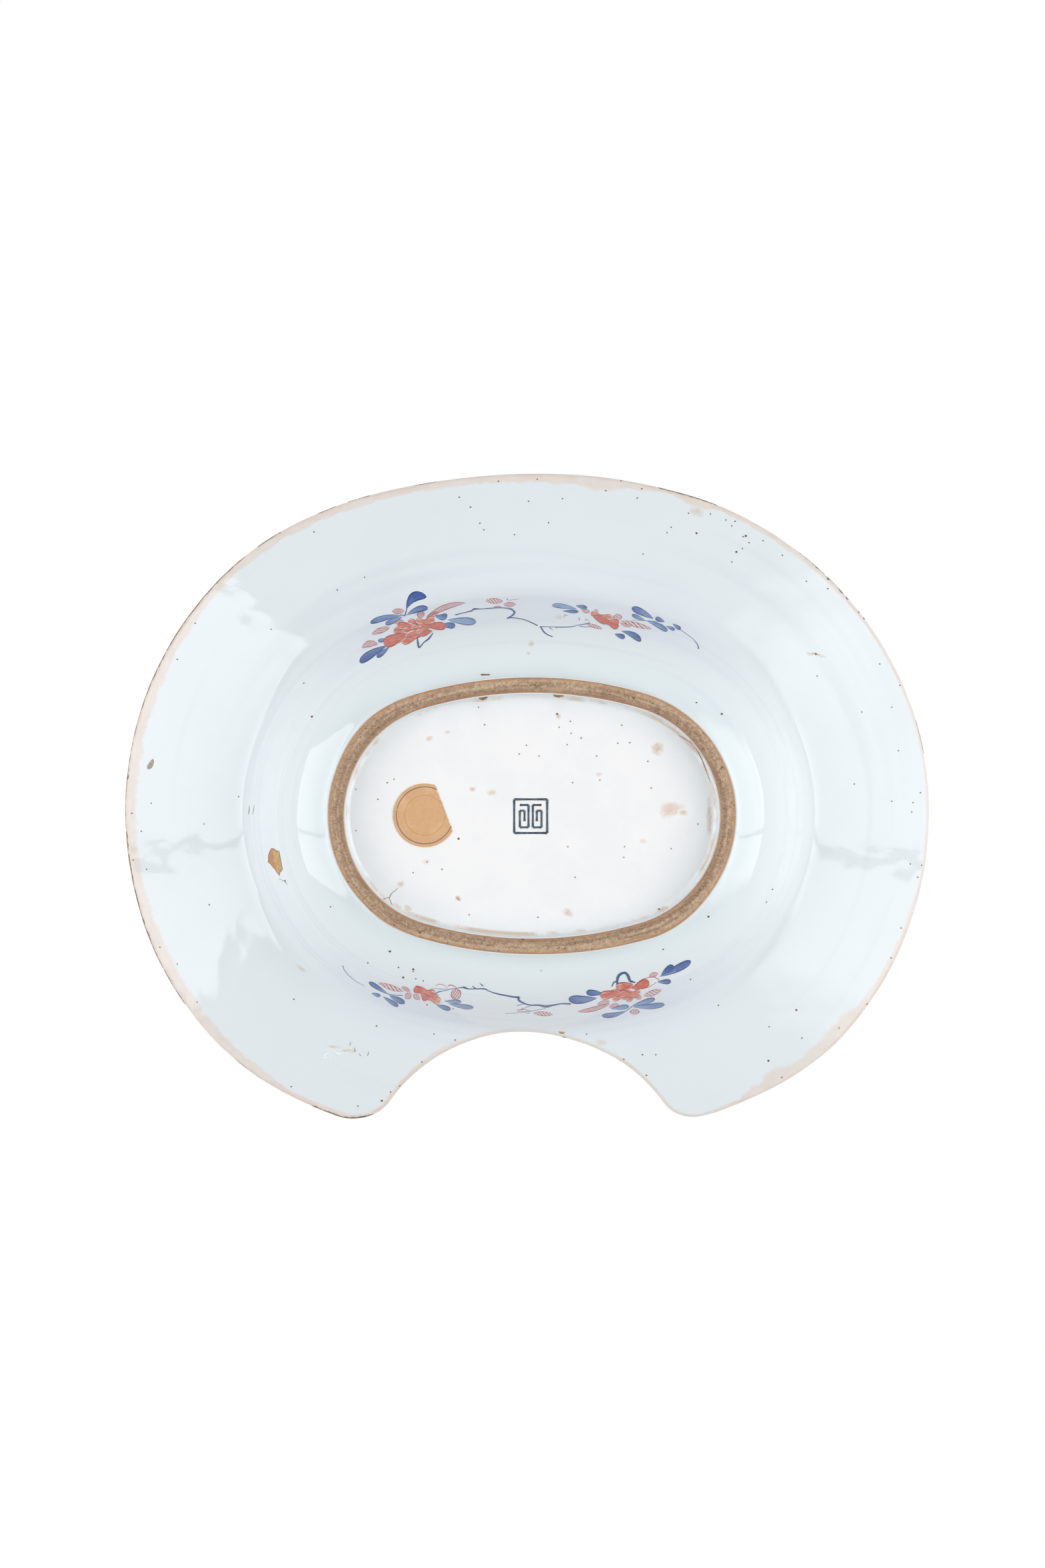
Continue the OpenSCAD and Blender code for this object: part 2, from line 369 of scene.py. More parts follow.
rough = place.relief(mottle * 0.8 + sand * 0.5 + streaks * 0.4 - pits - grit * 0.4, 0.16 * mm)
place.fire({"Base Color": brown, "Roughness": 0.85, "Normal": rough})

sheet = skin(foot_columns, len(foot_profile) - 1, foot_spot, foot_mark)
bmesh.ops.recalc_face_normals(sheet, faces=sheet.faces)
foot = add_piece("foot_ring_toasted", sheet, toasted)
pierce(foot, hole_radius)
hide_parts("foot_ring")

# Outside glaze
# The clear, faintly blue glaze on the outside of foot, wall and flange. It was poured over the raw
# pot, so it pools in the angle above the foot and thins to a warm, bare-looking band at the rim.
_, rim_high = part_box("rim_dressing")
rim_ring = rim_high.x - end_centre
neck_radius = 56 * mm
neck_depth = 41 * mm
horn_radius = 17 * mm
lip_round = 1.3 * mm
lip_columns = 600
flange_rows = 34
glaze_thickness = 0.4 * mm
coat_thickness = 0.39 * mm
bare_height = 1.0 * mm
bare_hole = 2.0 * mm
glaze_ior = 1.54
stray_reach = 12 * mm
rim_wobble = 0.12 * mm
rim_middle_pixel = (792.5, 1218)
pixel_size = 0.2257 * mm

# Strays of the hand-made rim from a true outline: a pixel of the edge, and pixels outwards
rim_strays = [
    ((1390, 1200), -1), ((1240, 860), -5), ((965, 725), -1), ((650, 720), -4), ((520, 750), -3),
    ((365, 835), 1), ((190, 1240), -1), ((310, 1545), 3), ((570, 1665), -6), ((740, 1555), -5),
    ((885, 1570), 1), ((985, 1640), 0), ((1070, 1675), -11), ((1260, 1550), 2),
]
# Width in pixels of the toasted band at the rim: a pixel of the edge, and the width there
toasted_widths = [
    ((186, 1200), 18), ((200, 1080), 18), ((240, 1000), 17), ((330, 880), 12), ((450, 790), 13),
    ((600, 740), 12), ((700, 720), 11), ((760, 715), 13), ((850, 715), 15), ((905, 722), 21),
    ((950, 730), 12), ((1000, 740), 6), ((1045, 756), 16), ((1080, 768), 7), ((1150, 795), 8),
    ((1210, 840), 8), ((1300, 930), 5), ((1360, 1040), 5), ((1385, 1130), 3), ((1395, 1220), 4),
    ((1385, 1300), 4), ((1350, 1400), 9), ((1320, 1460), 11), ((1290, 1506), 12), ((1266, 1535), 27),
    ((1230, 1570), 20), ((1205, 1590), 17), ((1170, 1622), 27), ((1145, 1642), 16), ((1110, 1660), 7),
    ((1050, 1672), 3), ((1000, 1655), 3), ((950, 1610), 5), ((900, 1570), 3), ((830, 1550), 2.5),
    ((760, 1545), 4), ((700, 1560), 5), ((640, 1605), 8), ((600, 1640), 8), ((560, 1672), 6),
    ((500, 1670), 9), ((440, 1645), 9), ((380, 1610), 14), ((330, 1570), 16), ((290, 1500), 20),
    ((240, 1410), 19), ((200, 1320), 16),
]

# The horn's arc touches the rim's end from inside and the neck cut-out from outside
neck_y = neck_depth - neck_radius - rim_ring - (side_span - side_centre)
horn_from_end = rim_ring - horn_radius
horn_from_neck = neck_radius + horn_radius
end_to_neck = math.hypot(end_centre, neck_y)
horn_along = (horn_from_end**2 - horn_from_neck**2 + end_to_neck**2) / (2 * end_to_neck)
horn_across = math.sqrt(horn_from_end**2 - horn_along**2)
horn_x = end_centre - (horn_along * end_centre + horn_across * neck_y) / end_to_neck
horn_y = (horn_along * neck_y - horn_across * end_centre) / end_to_neck
horn_to_rim = math.atan2(horn_y, horn_x - end_centre)
horn_to_neck = math.atan2(horn_y - neck_y, horn_x)

# Arcs of the outline: middle, radius, first and last direction, and 1 for a bulge or -1 for a hollow
outline_arcs = [
    (Vector((end_centre, 0)), rim_ring, horn_to_rim, seam_turn, 1),
    (Vector((0, -side_centre)), rim_ring + side_span, seam_turn, math.pi - seam_turn, 1),
    (Vector((-end_centre, 0)), rim_ring, math.pi - seam_turn, math.pi - horn_to_rim, 1),
    (Vector((-horn_x, horn_y)), horn_radius, math.pi - horn_to_rim, 2 * math.pi - horn_to_neck, 1),
    (Vector((0, neck_y)), neck_radius, math.pi - horn_to_neck, horn_to_neck, -1),
    (Vector((horn_x, horn_y)), horn_radius, math.pi + horn_to_neck, 2 * math.pi + horn_to_rim, 1),
]
outline_runs = [abs(last - first) * radius for _, radius, first, last, _ in outline_arcs]
outline_length = sum(outline_runs)


def picture_turn(pixel):
    """Direction on the plan, from the middle of the oval, of a pixel of the rim."""
    return math.atan2(rim_middle_pixel[1] - pixel[1], rim_middle_pixel[0] - pixel[0])


def round_the_rim(marks):
    """Stops by direction on the plan, of lengths given in pixels, that close on themselves."""
    stops = sorted((picture_turn(pixel), length * pixel_size) for pixel, length in marks)
    first_turn, first_length = stops[0]
    last_turn, last_length = stops[-1]
    return [(last_turn - 2 * math.pi, last_length), *stops, (first_turn + 2 * math.pi, first_length)]


def toward(stops, off_middle):
    """The length between two stops in the direction of a place, given from the middle of the oval."""
    turn = math.atan2(off_middle.y, off_middle.x)
    for (before, length), (after, next_length) in zip(stops, stops[1:]):
        if turn <= after:
            share = (turn - before) / (after - before)
            return length + (next_length - length) * share * share * (3 - 2 * share)


toasted_stops = round_the_rim(toasted_widths)
stray_stops = round_the_rim(rim_strays)


def outline_place(column, inset):
    """Plan point at an inset from the rim's edge, for one of the evenly spaced columns."""
    arc, left = find_arc(outline_runs, outline_length * (column % lip_columns) / lip_columns)
    middle, radius, first, last, bulge = outline_arcs[arc]
    turn = first + (last - first) * left / outline_runs[arc]
    facing = Vector((math.cos(turn), math.sin(turn)))
    edge = middle + facing * radius
    uneven = rim_wobble * (1 + noise.noise(edge.to_3d() * 55) + 0.5 * noise.noise(edge.to_3d() * 170))
    uneven += toward(stray_stops, edge)
    return edge + facing * bulge * (uneven - inset) + oval_middle


def ring_of(place):
    """Ring radius of a plan point, and the direction that the oval faces there."""
    x = place.x
    y = place.y - oval_y
    if abs(x) * side_centre > (abs(y) + side_centre) * end_centre:
        reach = Vector((x - math.copysign(end_centre, x), y))
        return reach.length, math.atan2(reach.y, reach.x)
    reach = Vector((x, y + math.copysign(side_centre, y)))
    return reach.length - side_span, math.atan2(reach.y, reach.x)


def edge_distance(place):
    """How far a plan point lies in from the rim, the horns or the neck cut-out."""
    ring, _ = ring_of(place)
    oval_place = Vector((abs(place.x), place.y - oval_y))
    from_horn = oval_place - Vector((horn_x, horn_y))
    outward = math.atan2(from_horn.y, from_horn.x)
    if -math.pi + horn_to_neck < outward < horn_to_rim:
        return horn_radius - from_horn.length
    return min(rim_ring - ring, (oval_place - Vector((0, neck_y))).length - neck_radius)


# The wall section on the underside: arcs by middle, radius and slope, joined by straight stretches
floor_ring = 36.8 * mm
base_height = 7.6 * mm
wall_slope = math.radians(66)
flange_slope = math.radians(14)
wall_length = 19.3 * mm
wall_steps = 7
cavetto_radius = 26 * mm
cavetto_steps = 18
bend_radius = 9 * mm
fillet_radius = 2.5 * mm
fillet_steps = 5
foot_wall_height = 3.5 * mm
hand_start = 44 * mm
hand_fade = 14 * mm
cavetto_middle = Vector((floor_ring, base_height + cavetto_radius))


def on_arc(middle, radius, slope):
    """Point of a section arc where the section climbs at a slope; a negative radius turns outwards."""
    return middle + radius * Vector((math.sin(slope), -math.cos(slope)))


wall_run = wall_length * Vector((math.cos(wall_slope), math.sin(wall_slope)))
bend_middle = on_arc(cavetto_middle, cavetto_radius + bend_radius, wall_slope) + wall_run
fillet_slope = math.asin((foot_outer + fillet_radius - floor_ring) / (cavetto_radius + fillet_radius))
fillet_middle = on_arc(cavetto_middle, cavetto_radius + fillet_radius, fillet_slope)


def section_height(ring, coat):
    """Height of the wall section at a ring radius, a coat's thickness below the clay's underside."""
    sunk = cavetto_radius + coat
    turned = bend_radius - coat
    wall_start = on_arc(cavetto_middle, sunk, wall_slope)
    bend_start = on_arc(bend_middle, -turned, wall_slope)
    bend_end = on_arc(bend_middle, -turned, flange_slope)
    if ring < floor_ring:
        return cavetto_middle.y - sunk
    if ring < wall_start.x:
        return cavetto_middle.y - math.sqrt(sunk**2 - (ring - cavetto_middle.x) ** 2)
    if ring < bend_start.x:
        return wall_start.y + (ring - wall_start.x) * math.tan(wall_slope)
    if ring < bend_end.x:
        return bend_middle.y + math.sqrt(turned**2 - (bend_middle.x - ring) ** 2)
    return bend_end.y + (ring - bend_end.x) * math.tan(flange_slope)


def hand_made(place, ring):
    """How far the potter's hand left the wall off its true section."""
    fade = min(1.0, max(0.0, (ring - hand_start) / hand_fade))
    slow = noise.noise(Vector((place.x, place.y, 0)) * 24)
    quick = noise.noise(Vector((place.x, place.y, 0.3)) * 75)
    return fade * (0.2 * slow + 0.05 * quick) * mm


def underside(place):
    """Height of the outside glaze over a plan point."""
    ring, turn = ring_of(place)
    stray = foot_stray(turn)
    unpushed = (ring - stray * (1 + foot_outer / stray_reach)) / (1 - stray / stray_reach)
    return section_height(min(ring, unpushed), glaze_thickness) + hand_made(place, ring)


# Rows from the foot's bare edge up the wall, by ring radius and height
wall_top = on_arc(bend_middle, -bend_radius, wall_slope).x - mm
foot_face = foot_outer + glaze_thickness
fixed_section = [(foot_face, bare_height), (foot_face, foot_wall_height)]
for step in range(fillet_steps + 1):
    slope = math.radians(90) + (fillet_slope - math.radians(90)) * step / fillet_steps
    fixed_section.append(tuple(on_arc(fillet_middle, glaze_thickness - fillet_radius, slope)))
for step in range(1, cavetto_steps + 1):
    slope = fillet_slope + (wall_slope - fillet_slope) * step / cavetto_steps
    ring = on_arc(cavetto_middle, cavetto_radius + glaze_thickness, slope).x
    fixed_section.append((ring, section_height(ring, glaze_thickness)))
last_ring = fixed_section[-1][0]
for step in range(1, wall_steps + 1):
    ring = last_ring + (wall_top - last_ring) * step / wall_steps
    fixed_section.append((ring, section_height(ring, glaze_thickness)))
lip_rays = [ring_of(outline_place(column, lip_round)) for column in range(lip_columns + 1)]


def outside_spot(column, row):
    lip, turn = lip_rays[column]
    if row < len(fixed_section):
        ring, height = fixed_section[row]
        ring += foot_stray(turn) * min(1.0, max(0.0, 1 - (ring - foot_outer) / stray_reach))
    else:
        share = (row - len(fixed_section) + 1) / flange_rows
        ring = wall_top + (lip - wall_top) * share**1.4
        height = section_height(ring, glaze_thickness)
    spot = ring_place(turn, ring)
    return Vector((spot.x, spot.y, height + hand_made(spot, ring)))


def outside_mark(column, row):
    spot = outside_spot(column, row)
    off_middle = spot.xy - oval_middle
    from_edge = edge_distance(spot) + toward(stray_stops, off_middle)
    return outline_length * column / lip_columns, from_edge / toward(toasted_stops, off_middle)


def iron_specks(place, scale, share):
    """Iron spots in the glaze: one in some of the cells of a random net, each of its own size."""
    net = place.node("ShaderNodeTexVoronoi", {}, {"Vector": place, "Scale": scale})
    chance = net.node("ShaderNodeSeparateColor", {}, {"Color": net.part("Color")})
    size = chance.between(1 - share, 1.0) * 0.045
    return (size - net).between(0.0, 0.012)


def blue_white(place):
    """The glaze's own faint blue, a little uneven."""
    return place.grain(28, 3).mix(srgb(226, 234, 238), srgb(232, 239, 243))


def toasted_wash(cloud):
    """The warm beige of thin glaze and iron wash at the rim, by a cloudy noise."""
    return cloud.between(0.35, 0.65).mix(srgb(231, 222, 215), srgb(227, 214, 204))


def glaze_finish(place, colour):
    """Ends a material as fired glaze over a colour: glossy, with a faint orange-peel surface."""
    specks = iron_specks(place, 95, 0.12)
    colour = (specks * 0.85).mix(colour, srgb(96, 74, 52))
    level_place = place.node("ShaderNodeMapping", {}, {"Vector": place, "Scale": (5.0, 5.0, 380.0)})
    turning = place.node("ShaderNodeTexNoise", {}, {"Vector": level_place, "Scale": 1.0, "Detail": 2.0})
    colour = (turning.between(0.45, 0.3) * 0.35).mix(colour, srgb(214, 224, 230))
    swell = place.grain(70, 1) + place.grain(190, 2) * 0.12 + turning * 0.12
    gloss = place.grain(40, 3) * 0.06 + 0.03
    place.fire({
        "Base Color": colour,
        "Roughness": gloss,
        "IOR": glaze_ior,
        "Normal": place.relief(swell, 0.28 * mm),
    })


outside_finish, place = new_finish("outside_glaze")
from_edge = place.own_map("skin").axis(1)
height = place.axis(2)
tint = blue_white(place)
tint = (height.between(20 * mm, 8 * mm) * 0.8).mix(tint, srgb(226, 236, 239))
from_middle = place.axis(0).magnitude()
bloom = height.between(16 * mm, 26 * mm) * height.between(48 * mm, 40 * mm)
bloom = bloom * from_middle.between(76 * mm, 48 * mm)
tint = (bloom * 0.45).mix(tint, srgb(224, 229, 241))
cloud = place.grain(150, 5, 0.6)
ragged = (cloud - 0.5) * 1.1 + (place.grain(420, 3, 0.6) - 0.5) * 0.6
band = (from_edge + ragged).between(1.15, 0.75)
tint = (band * 0.85).mix(tint, toasted_wash(cloud))
glaze_finish(place, tint)

rows = len(fixed_section) + flange_rows - 1
sheet = skin(lip_columns, rows, outside_spot, outside_mark)
outside = add_piece("outside_glaze_coat", sheet, outside_finish)
thicken(outside, coat_thickness)
pierce(outside, bare_hole)
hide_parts("outside_glaze")

# Rim dressing
# The rim's edge, rounded over from both faces. The glaze was wiped off it and a thin iron wash put on,
# which fired to a warm beige and is faintest on the right-hand side.
clay_thickness = 4.4 * mm
top_coat = clay_thickness + glaze_thickness
lip_clay = 3 * mm
lip_overrun = 5 * mm
thin_coat = 0.3 * mm


def topside(place):
    """Height of the inside glaze over a plan point."""
    ring, _ = ring_of(place)
    bend_end = on_arc(bend_middle, -bend_radius - top_coat, flange_slope)
    if ring < bend_end.x:
        return section_height(ring, -top_coat) + hand_made(place, ring)
    under_end = Vector((rim_ring + lip_overrun, section_height(rim_ring + lip_overrun, 0)))
    lip_end = on_arc(under_end, -lip_clay - glaze_thickness, flange_slope)
    share = (ring - bend_end.x) / (lip_end.x - bend_end.x)
    return bend_end.y + (lip_end.y - bend_end.y) * share + hand_made(place, ring)


# Rows over the edge: inset, share of the way from the underside to the top, and lift
round_steps = 8
edge_rows = 3
lip_rows = []
for step in range(round_steps + 1):
    turn = math.pi / 2 * (step / round_steps) ** 2
    lip_rows.append((lip_round * (1 - math.sin(turn)), 0, lip_round * (1 - math.cos(turn))))
for step in range(1, edge_rows):
    lip_rows.append((0, step / edge_rows, lip_round * (1 - 2 * step / edge_rows)))
for step in range(round_steps + 1):
    turn = math.pi / 2 * (1 - step / round_steps) ** 2
    lip_rows.append((lip_round * (1 - math.sin(turn)), 1, -lip_round * (1 - math.cos(turn))))


def lip_spot(column, row):
    inset, upper, lift = lip_rows[row]
    spot = outline_place(column, inset)
    low = underside(spot)
    high = topside(spot)
    return Vector((spot.x, spot.y, low + (high - low) * upper + lift))


def lip_mark(column, row):
    off_middle = outline_place(column, 0) - oval_middle
    return toward(toasted_stops, off_middle), row / (len(lip_rows) - 1)


rim_finish, place = new_finish("rim_dressing")
band_width = place.own_map("skin").axis(0)
wash = toasted_wash(place.grain(150, 5, 0.6))
colour = band_width.between(0.3 * mm, 1.6 * mm).mix(srgb(230, 228, 225), wash)
place.fire({
    "Base Color": colour,
    "Roughness": 0.3,
    "Normal": place.relief(place.grain(400, 3), 0.05 * mm),
})
sheet = skin(lip_columns, len(lip_rows) - 1, lip_spot, lip_mark)
rim = add_piece("rim_edge_dressing", sheet, rim_finish)
thicken(rim, thin_coat)
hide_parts("rim_dressing")

# Inside glaze
# The same clear, bluish glaze in the well and on the flange's upper face, the side that is used. It was
# poured in and swilled round, so it covers all of that side as far as the wiped edge.
inside_top = 62 * mm
inside_floor_steps = 6
inside_cavetto_steps = 12
inside_wall_steps = 5
# Rows from the middle of the well up its wall, by ring radius
inside_rings = [0.0]
for step in range(1, inside_floor_steps + 1):
    inside_rings.append(floor_ring * step / inside_floor_steps)
for step in range(1, inside_cavetto_steps + 1):
    slope = wall_slope * step / inside_cavetto_steps
    inside_rings.append(on_arc(cavetto_middle, cavetto_radius - top_coat, slope).x)
last_ring = inside_rings[-1]
for step in range(1, inside_wall_steps + 1):
    inside_rings.append(last_ring + (inside_top - last_ring) * step / inside_wall_steps)


def inside_spot(column, row):
    lip, turn = lip_rays[column]
    if row == 0:
        return Vector((0, oval_y, topside(oval_middle)))
    if row < len(inside_rings):
        ring = inside_rings[row]
    else:
        share = (row - len(inside_rings) + 1) / flange_rows
        ring = inside_top + (lip - inside_top) * share**1.3
    spot = ring_place(turn, ring)
    if ring < floor_ring / 2:
        spot = oval_middle + (ring_place(turn, floor_ring / 2) - oval_middle) * ring / (floor_ring / 2)
    return Vector((spot.x, spot.y, topside(spot)))


def inside_mark(column, row):
    return outline_length * column / lip_columns, edge_distance(inside_spot(column, row))


inside_finish, place = new_finish("inside_glaze")
glaze_finish(place, blue_white(place))
sheet = skin(lip_columns, len(inside_rings) + flange_rows - 1, inside_spot, inside_mark)
bmesh.ops.reverse_faces(sheet, faces=sheet.faces)
inside = add_piece("inside_glaze_coat", sheet, inside_finish)
thicken(inside, thin_coat)
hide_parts("inside_glaze")

# Clay basin
# The moulded porcelain body between the two coats of glaze: floor, wall, flange and neck cut-out in
# one thickness of clay. None of it shows, but it fills the coats and carries them.
floor_shares = (0.0, 0.5, 1.0)
first_wall_row = 8
basin_under = len(fixed_section) + flange_rows - first_wall_row
basin_over = len(inside_rings) + flange_rows
basin_rows = len(floor_shares) + basin_under + basin_over - 1


def basin_spot(column, row):
    if row < len(floor_shares):
        edge = ring_place(lip_rays[column][1], floor_ring)
        spot = oval_middle + (edge - oval_middle) * floor_shares[row]
        return Vector((spot.x, spot.y, base_height))
    row -= len(floor_shares)
    if row < basin_under:
        return outside_spot(column, row + first_wall_row) + Vector((0, 0, glaze_thickness))
    row -= basin_under
    return inside_spot(column, basin_over - 1 - row) - Vector((0, 0, glaze_thickness))


def basin_mark(column, row):
    return column / lip_columns, row / basin_rows


sheet = skin(lip_columns, basin_rows, basin_spot, basin_mark)
bmesh.ops.recalc_face_normals(sheet, faces=sheet.faces)
basin = add_piece("clay_basin", sheet, clay)
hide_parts("basin")

# Base glaze
# The glaze on the base inside the foot ring. It runs down the inner wall of the foot and stops short
# of the tread, with stains, iron spots and a firing crack in it.
base_columns = 400
base_turns = even_turns(foot_inner, base_columns)
base_inner = foot_inner - glaze_thickness
base_fillet = fillet_radius - glaze_thickness
base_level = base_height - glaze_thickness
base_fillet_ring = foot_inner - fillet_radius
base_wall_height = 3 * mm
base_flat_steps = 14
base_fillet_steps = 8
base_section = []
for step in range(base_flat_steps + 1):
    base_section.append((base_fillet_ring * step / base_flat_steps, base_level))
for step in range(1, base_fillet_steps + 1):
    slope = math.pi / 2 * step / base_fillet_steps
    ring = base_fillet_ring + base_fillet * math.sin(slope)
    base_section.append((ring, base_level - base_fillet * (1 - math.cos(slope))))
base_section += [(base_inner, base_wall_height), (base_inner, bare_height)]


def base_spot(column, row):
    ring, height = base_section[row]
    edge = ring_place(base_turns[column], max(ring, base_fillet_ring))
    spot = oval_middle + (edge - oval_middle) * min(1.0, ring / base_fillet_ring)
    return Vector((spot.x, spot.y, height))


def base_mark(column, row):
    return foot_length * column / base_columns, base_section[row][0]


base_finish, place = new_finish("base_glaze")
height = place.axis(2)
from_centre = place.own_map("skin").axis(1)
tint = place.grain(55, 6, 0.65).between(0.35, 0.62).mix(srgb(244, 246, 247), srgb(249, 249, 250))
# Painted shade: the base darkens to blue-grey in a band near the foot, and more down the fillet and the
# foot's inner wall
painted_foot_shade = (from_centre + (place.grain(45, 3) - 0.5) * 9 * mm).between(27 * mm, 35 * mm)
tint = (painted_foot_shade * 0.3).mix(tint, srgb(226, 234, 238))
tint = (height.between(7.1 * mm, 6.0 * mm) * 0.7).mix(tint, srgb(220, 229, 232))
angle = height.between(7.19 * mm, 7.0 * mm) * height.between(5.8 * mm, 6.6 * mm)
dirt = angle * place.grain(65, 5, 0.6).between(0.46, 0.6)
tint = (dirt * 0.75).mix(tint, srgb(212, 188, 164))
glaze_finish(place, tint)
sheet = skin(base_columns, len(base_section) - 1, base_spot, base_mark)
base = add_piece("base_glaze_coat", sheet, base_finish)
thicken(base, coat_thickness)
pierce(base, bare_hole)
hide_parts("base_glaze")

# Paper label
# A round kraft-paper sticker glued to the base. A strip is torn off one side, the edge has begun to
# curl, and two printed rings run round it.
label_low, label_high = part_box("paper_label")
label_radius = (label_high.y - label_low.y) / 2
label_middle = Vector((label_high.x - label_radius, (label_low.y + label_high.y) / 2))
tear_turn = math.radians(159)
torn_strip = 3.8 * mm
tear_distance = label_radius - torn_strip
tear_wobble = 0.35 * mm
cut_wobble = 0.06 * mm
curl_height = 0.12 * mm
paper_thickness = 0.15 * mm
label_columns = 120
label_rows = 12


def label_spot(column, row):
    turn = 2 * math.pi * column / label_columns
    facing = Vector((math.cos(turn), math.sin(turn)))
    toward_tear = math.cos(turn - tear_turn)
    reach = label_radius + cut_wobble * noise.noise(facing.to_3d() * 9)
    if toward_tear * reach > tear_distance:
        ragged = tear_wobble * noise.noise(facing.to_3d() * 14)
        reach = min(reach, (tear_distance + ragged) / toward_tear)
    spot = label_middle + facing * reach * row / label_rows
    curl = curl_height * (row / label_rows) ** 3 * max(0.0, noise.noise(facing.to_3d() * 2.3))
    return Vector((spot.x, spot.y, label_low.z - curl))


def label_mark(column, row):
    return column / label_columns, row / label_rows


paper, place = new_finish("label_paper")
label_origin = (*label_middle, 0.0)
on_label = place.node("ShaderNodeVectorMath", {"operation": "SUBTRACT"}, {0: place, 1: label_origin})
flat = place.node("ShaderNodeVectorMath", {"operation": "MULTIPLY"}, {0: on_label, 1: (1.0, 1.0, 0.0)})
out = place.node("ShaderNodeVectorMath", {"operation": "LENGTH"}, {0: flat}, 1)
fibre = place.grain(900, 5, 0.7)
kraft = fibre.mix(srgb(200, 152, 106), srgb(228, 186, 142))
kraft = (place.grain(150, 3).between(0.5, 0.75) * 0.5).mix(kraft, srgb(232, 196, 152))
worn_print = place.grain(500, 3).between(0.24, 0.36)
for radius, ink, strength, half in (
    (9.4 * mm, srgb(86, 80, 104), 0.85, 0.14 * mm),
    (6.6 * mm, srgb(168, 118, 78), 0.5, 0.1 * mm),
):
    line = (out - radius).magnitude().between(half * 1.5, half * 0.6) * worn_print * strength
    kraft = line.mix(kraft, ink)
place.fire({"Base Color": kraft, "Roughness": 0.7, "Normal": place.relief(fibre, 0.04 * mm)})
sheet = skin(label_columns, label_rows, label_spot, label_mark)
label = add_piece("torn_paper_label", sheet, paper)
thicken(label, paper_thickness)
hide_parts("paper_label")

# Camera
# It looks up at the underside from straight below, a degree or two off the foot's axis, with the side
# away from the neck uppermost.
scene.view_settings.view_transform = "Standard"
picture_width = 1568
picture_height = 2352
sensor_mm = 36
lens_mm = 100
camera_distance = 1487 * mm
lean_along = math.radians(1.3)
lean_across = math.radians(0.9)
rim_height = 56 * mm
rim_middle = Vector((0, oval_y, rim_height))
focal = lens_mm / sensor_mm * picture_height


def turn_from(back):
    """Turn of a camera or a lamp whose back points one way, with +Y upwards in its view."""
    right = Vector((0, 1, 0)).cross(back).normalized()
    return Matrix((right, back.cross(right), back)).transposed()


def picture_ray(pixel):
    """Direction in which the camera sees a pixel, one unit deep."""
    across = (pixel[0] - picture_width / 2) / focal
    rise = (picture_height / 2 - pixel[1]) / focal
    return camera_turn @ Vector((across, rise, -1))


camera_turn = turn_from(Vector((math.tan(lean_along), math.tan(lean_across), -1)).normalized())
camera_place = rim_middle - picture_ray(rim_middle_pixel) * camera_distance
camera_data = bpy.data.cameras.new("camera")
camera_data.lens = lens_mm
camera_data.sensor_width = sensor_mm
camera_data.sensor_fit = "AUTO"
camera = bpy.data.objects.new("camera", camera_data)
camera.matrix_world = Matrix.Translation(camera_place) @ camera_turn.to_4x4()
scene.collection.objects.link(camera)
scene.camera = camera

# Painted sprays
# Two flower sprays on the wall, brushed on in underglaze blue and overglaze iron red: outlined leaves,
# peonies, hatched buds and a knotted branch. Marks are placed by where the camera sees them on the wall.
paint_lift = 0.03 * mm
paint_step = 0.0008 * mm
paint_layers = 90
paint_marks = 0
landing_start = 20 * mm
landing_tries = 14
slope_step = 0.2 * mm
leaf_columns = 14
leaf_rows = 6


def seen_on(height_at):
    """A way to land marks where the camera sees them on a face of a height known over any plan point."""

    def land(pixel, lift):
        ray = picture_ray(pixel)
        height = landing_start
        for _ in range(landing_tries):
            spot = camera_place + ray * ((height - camera_place.z) / ray.z)
            height = height_at(spot.xy)
        rise_x = height_at(spot.xy + Vector((slope_step, 0))) - height
        rise_y = height_at(spot.xy + Vector((0, slope_step))) - height
        off_face = Vector((rise_x, rise_y, -slope_step)).normalized()
        return Vector((spot.x, spot.y, height)) + off_face * lift

    return land


on_underside = seen_on(underside)


def new_paint():
    """An empty sheet of brush marks, with their along and across places and their tones as UV maps."""
    sheet = bmesh.new()
    sheet.loops.layers.uv.new("skin")
    sheet.loops.layers.uv.new("dab")
    return sheet


def dab(sheet, columns, rows, pixel_at, tone, land, from_middle=False):
    """Adds a brush mark whose picture pixels are pixel_at(along, across).

    Along runs from 0 to 1, and across from -1 to 1, or from 0 to 1 on a mark drawn from its middle.
    """
    global paint_marks
    paint_marks += 1
    lift = paint_lift + paint_step * (paint_marks % paint_layers)
    skin_map = sheet.loops.layers.uv["skin"]
    dab_map = sheet.loops.layers.uv["dab"]
    made = bmesh.ops.create_grid(sheet, x_segments=columns, y_segments=rows, size=0.5)
    for corner in made["verts"]:
        along = corner.co.x + 0.5
        across = corner.co.y + 0.5 if from_middle else corner.co.y * 2
        for loop in corner.link_loops:
            loop[skin_map].uv = (along, across)
            loop[dab_map].uv = (tone, 0.37 * paint_marks % 1)
        corner.co = land(pixel_at(along, across), lift)
    bmesh.ops.remove_doubles(sheet, verts=made["verts"], dist=paint_step / 4)


def leaf(sheet, base, tip, width, bow=0.0, tone=0.5, blunt=True, land=on_underside):
    """A leaf or petal from base to tip; bow bends it to the left, and a blunt one has a round tip."""
    start = Vector(base)
    run = Vector(tip) - start
    side = Vector((run.y, -run.x)).normalized()

    def pixel_at(along, across):
        reach = along
        swell = math.sin(math.pi * along) ** 0.7 if 0 < along < 1 else 0
        if blunt:
            reach = 1 - (1 - along) ** 1.6
            swell = 1.6 * reach**0.75 * math.sqrt(1 - reach**3)
        bend = 4 * bow * reach * (1 - reach)
        return start + run * reach + side * (bend + across * width * max(0.04, swell))

    dab(sheet, leaf_columns, leaf_rows, pixel_at, tone, land)


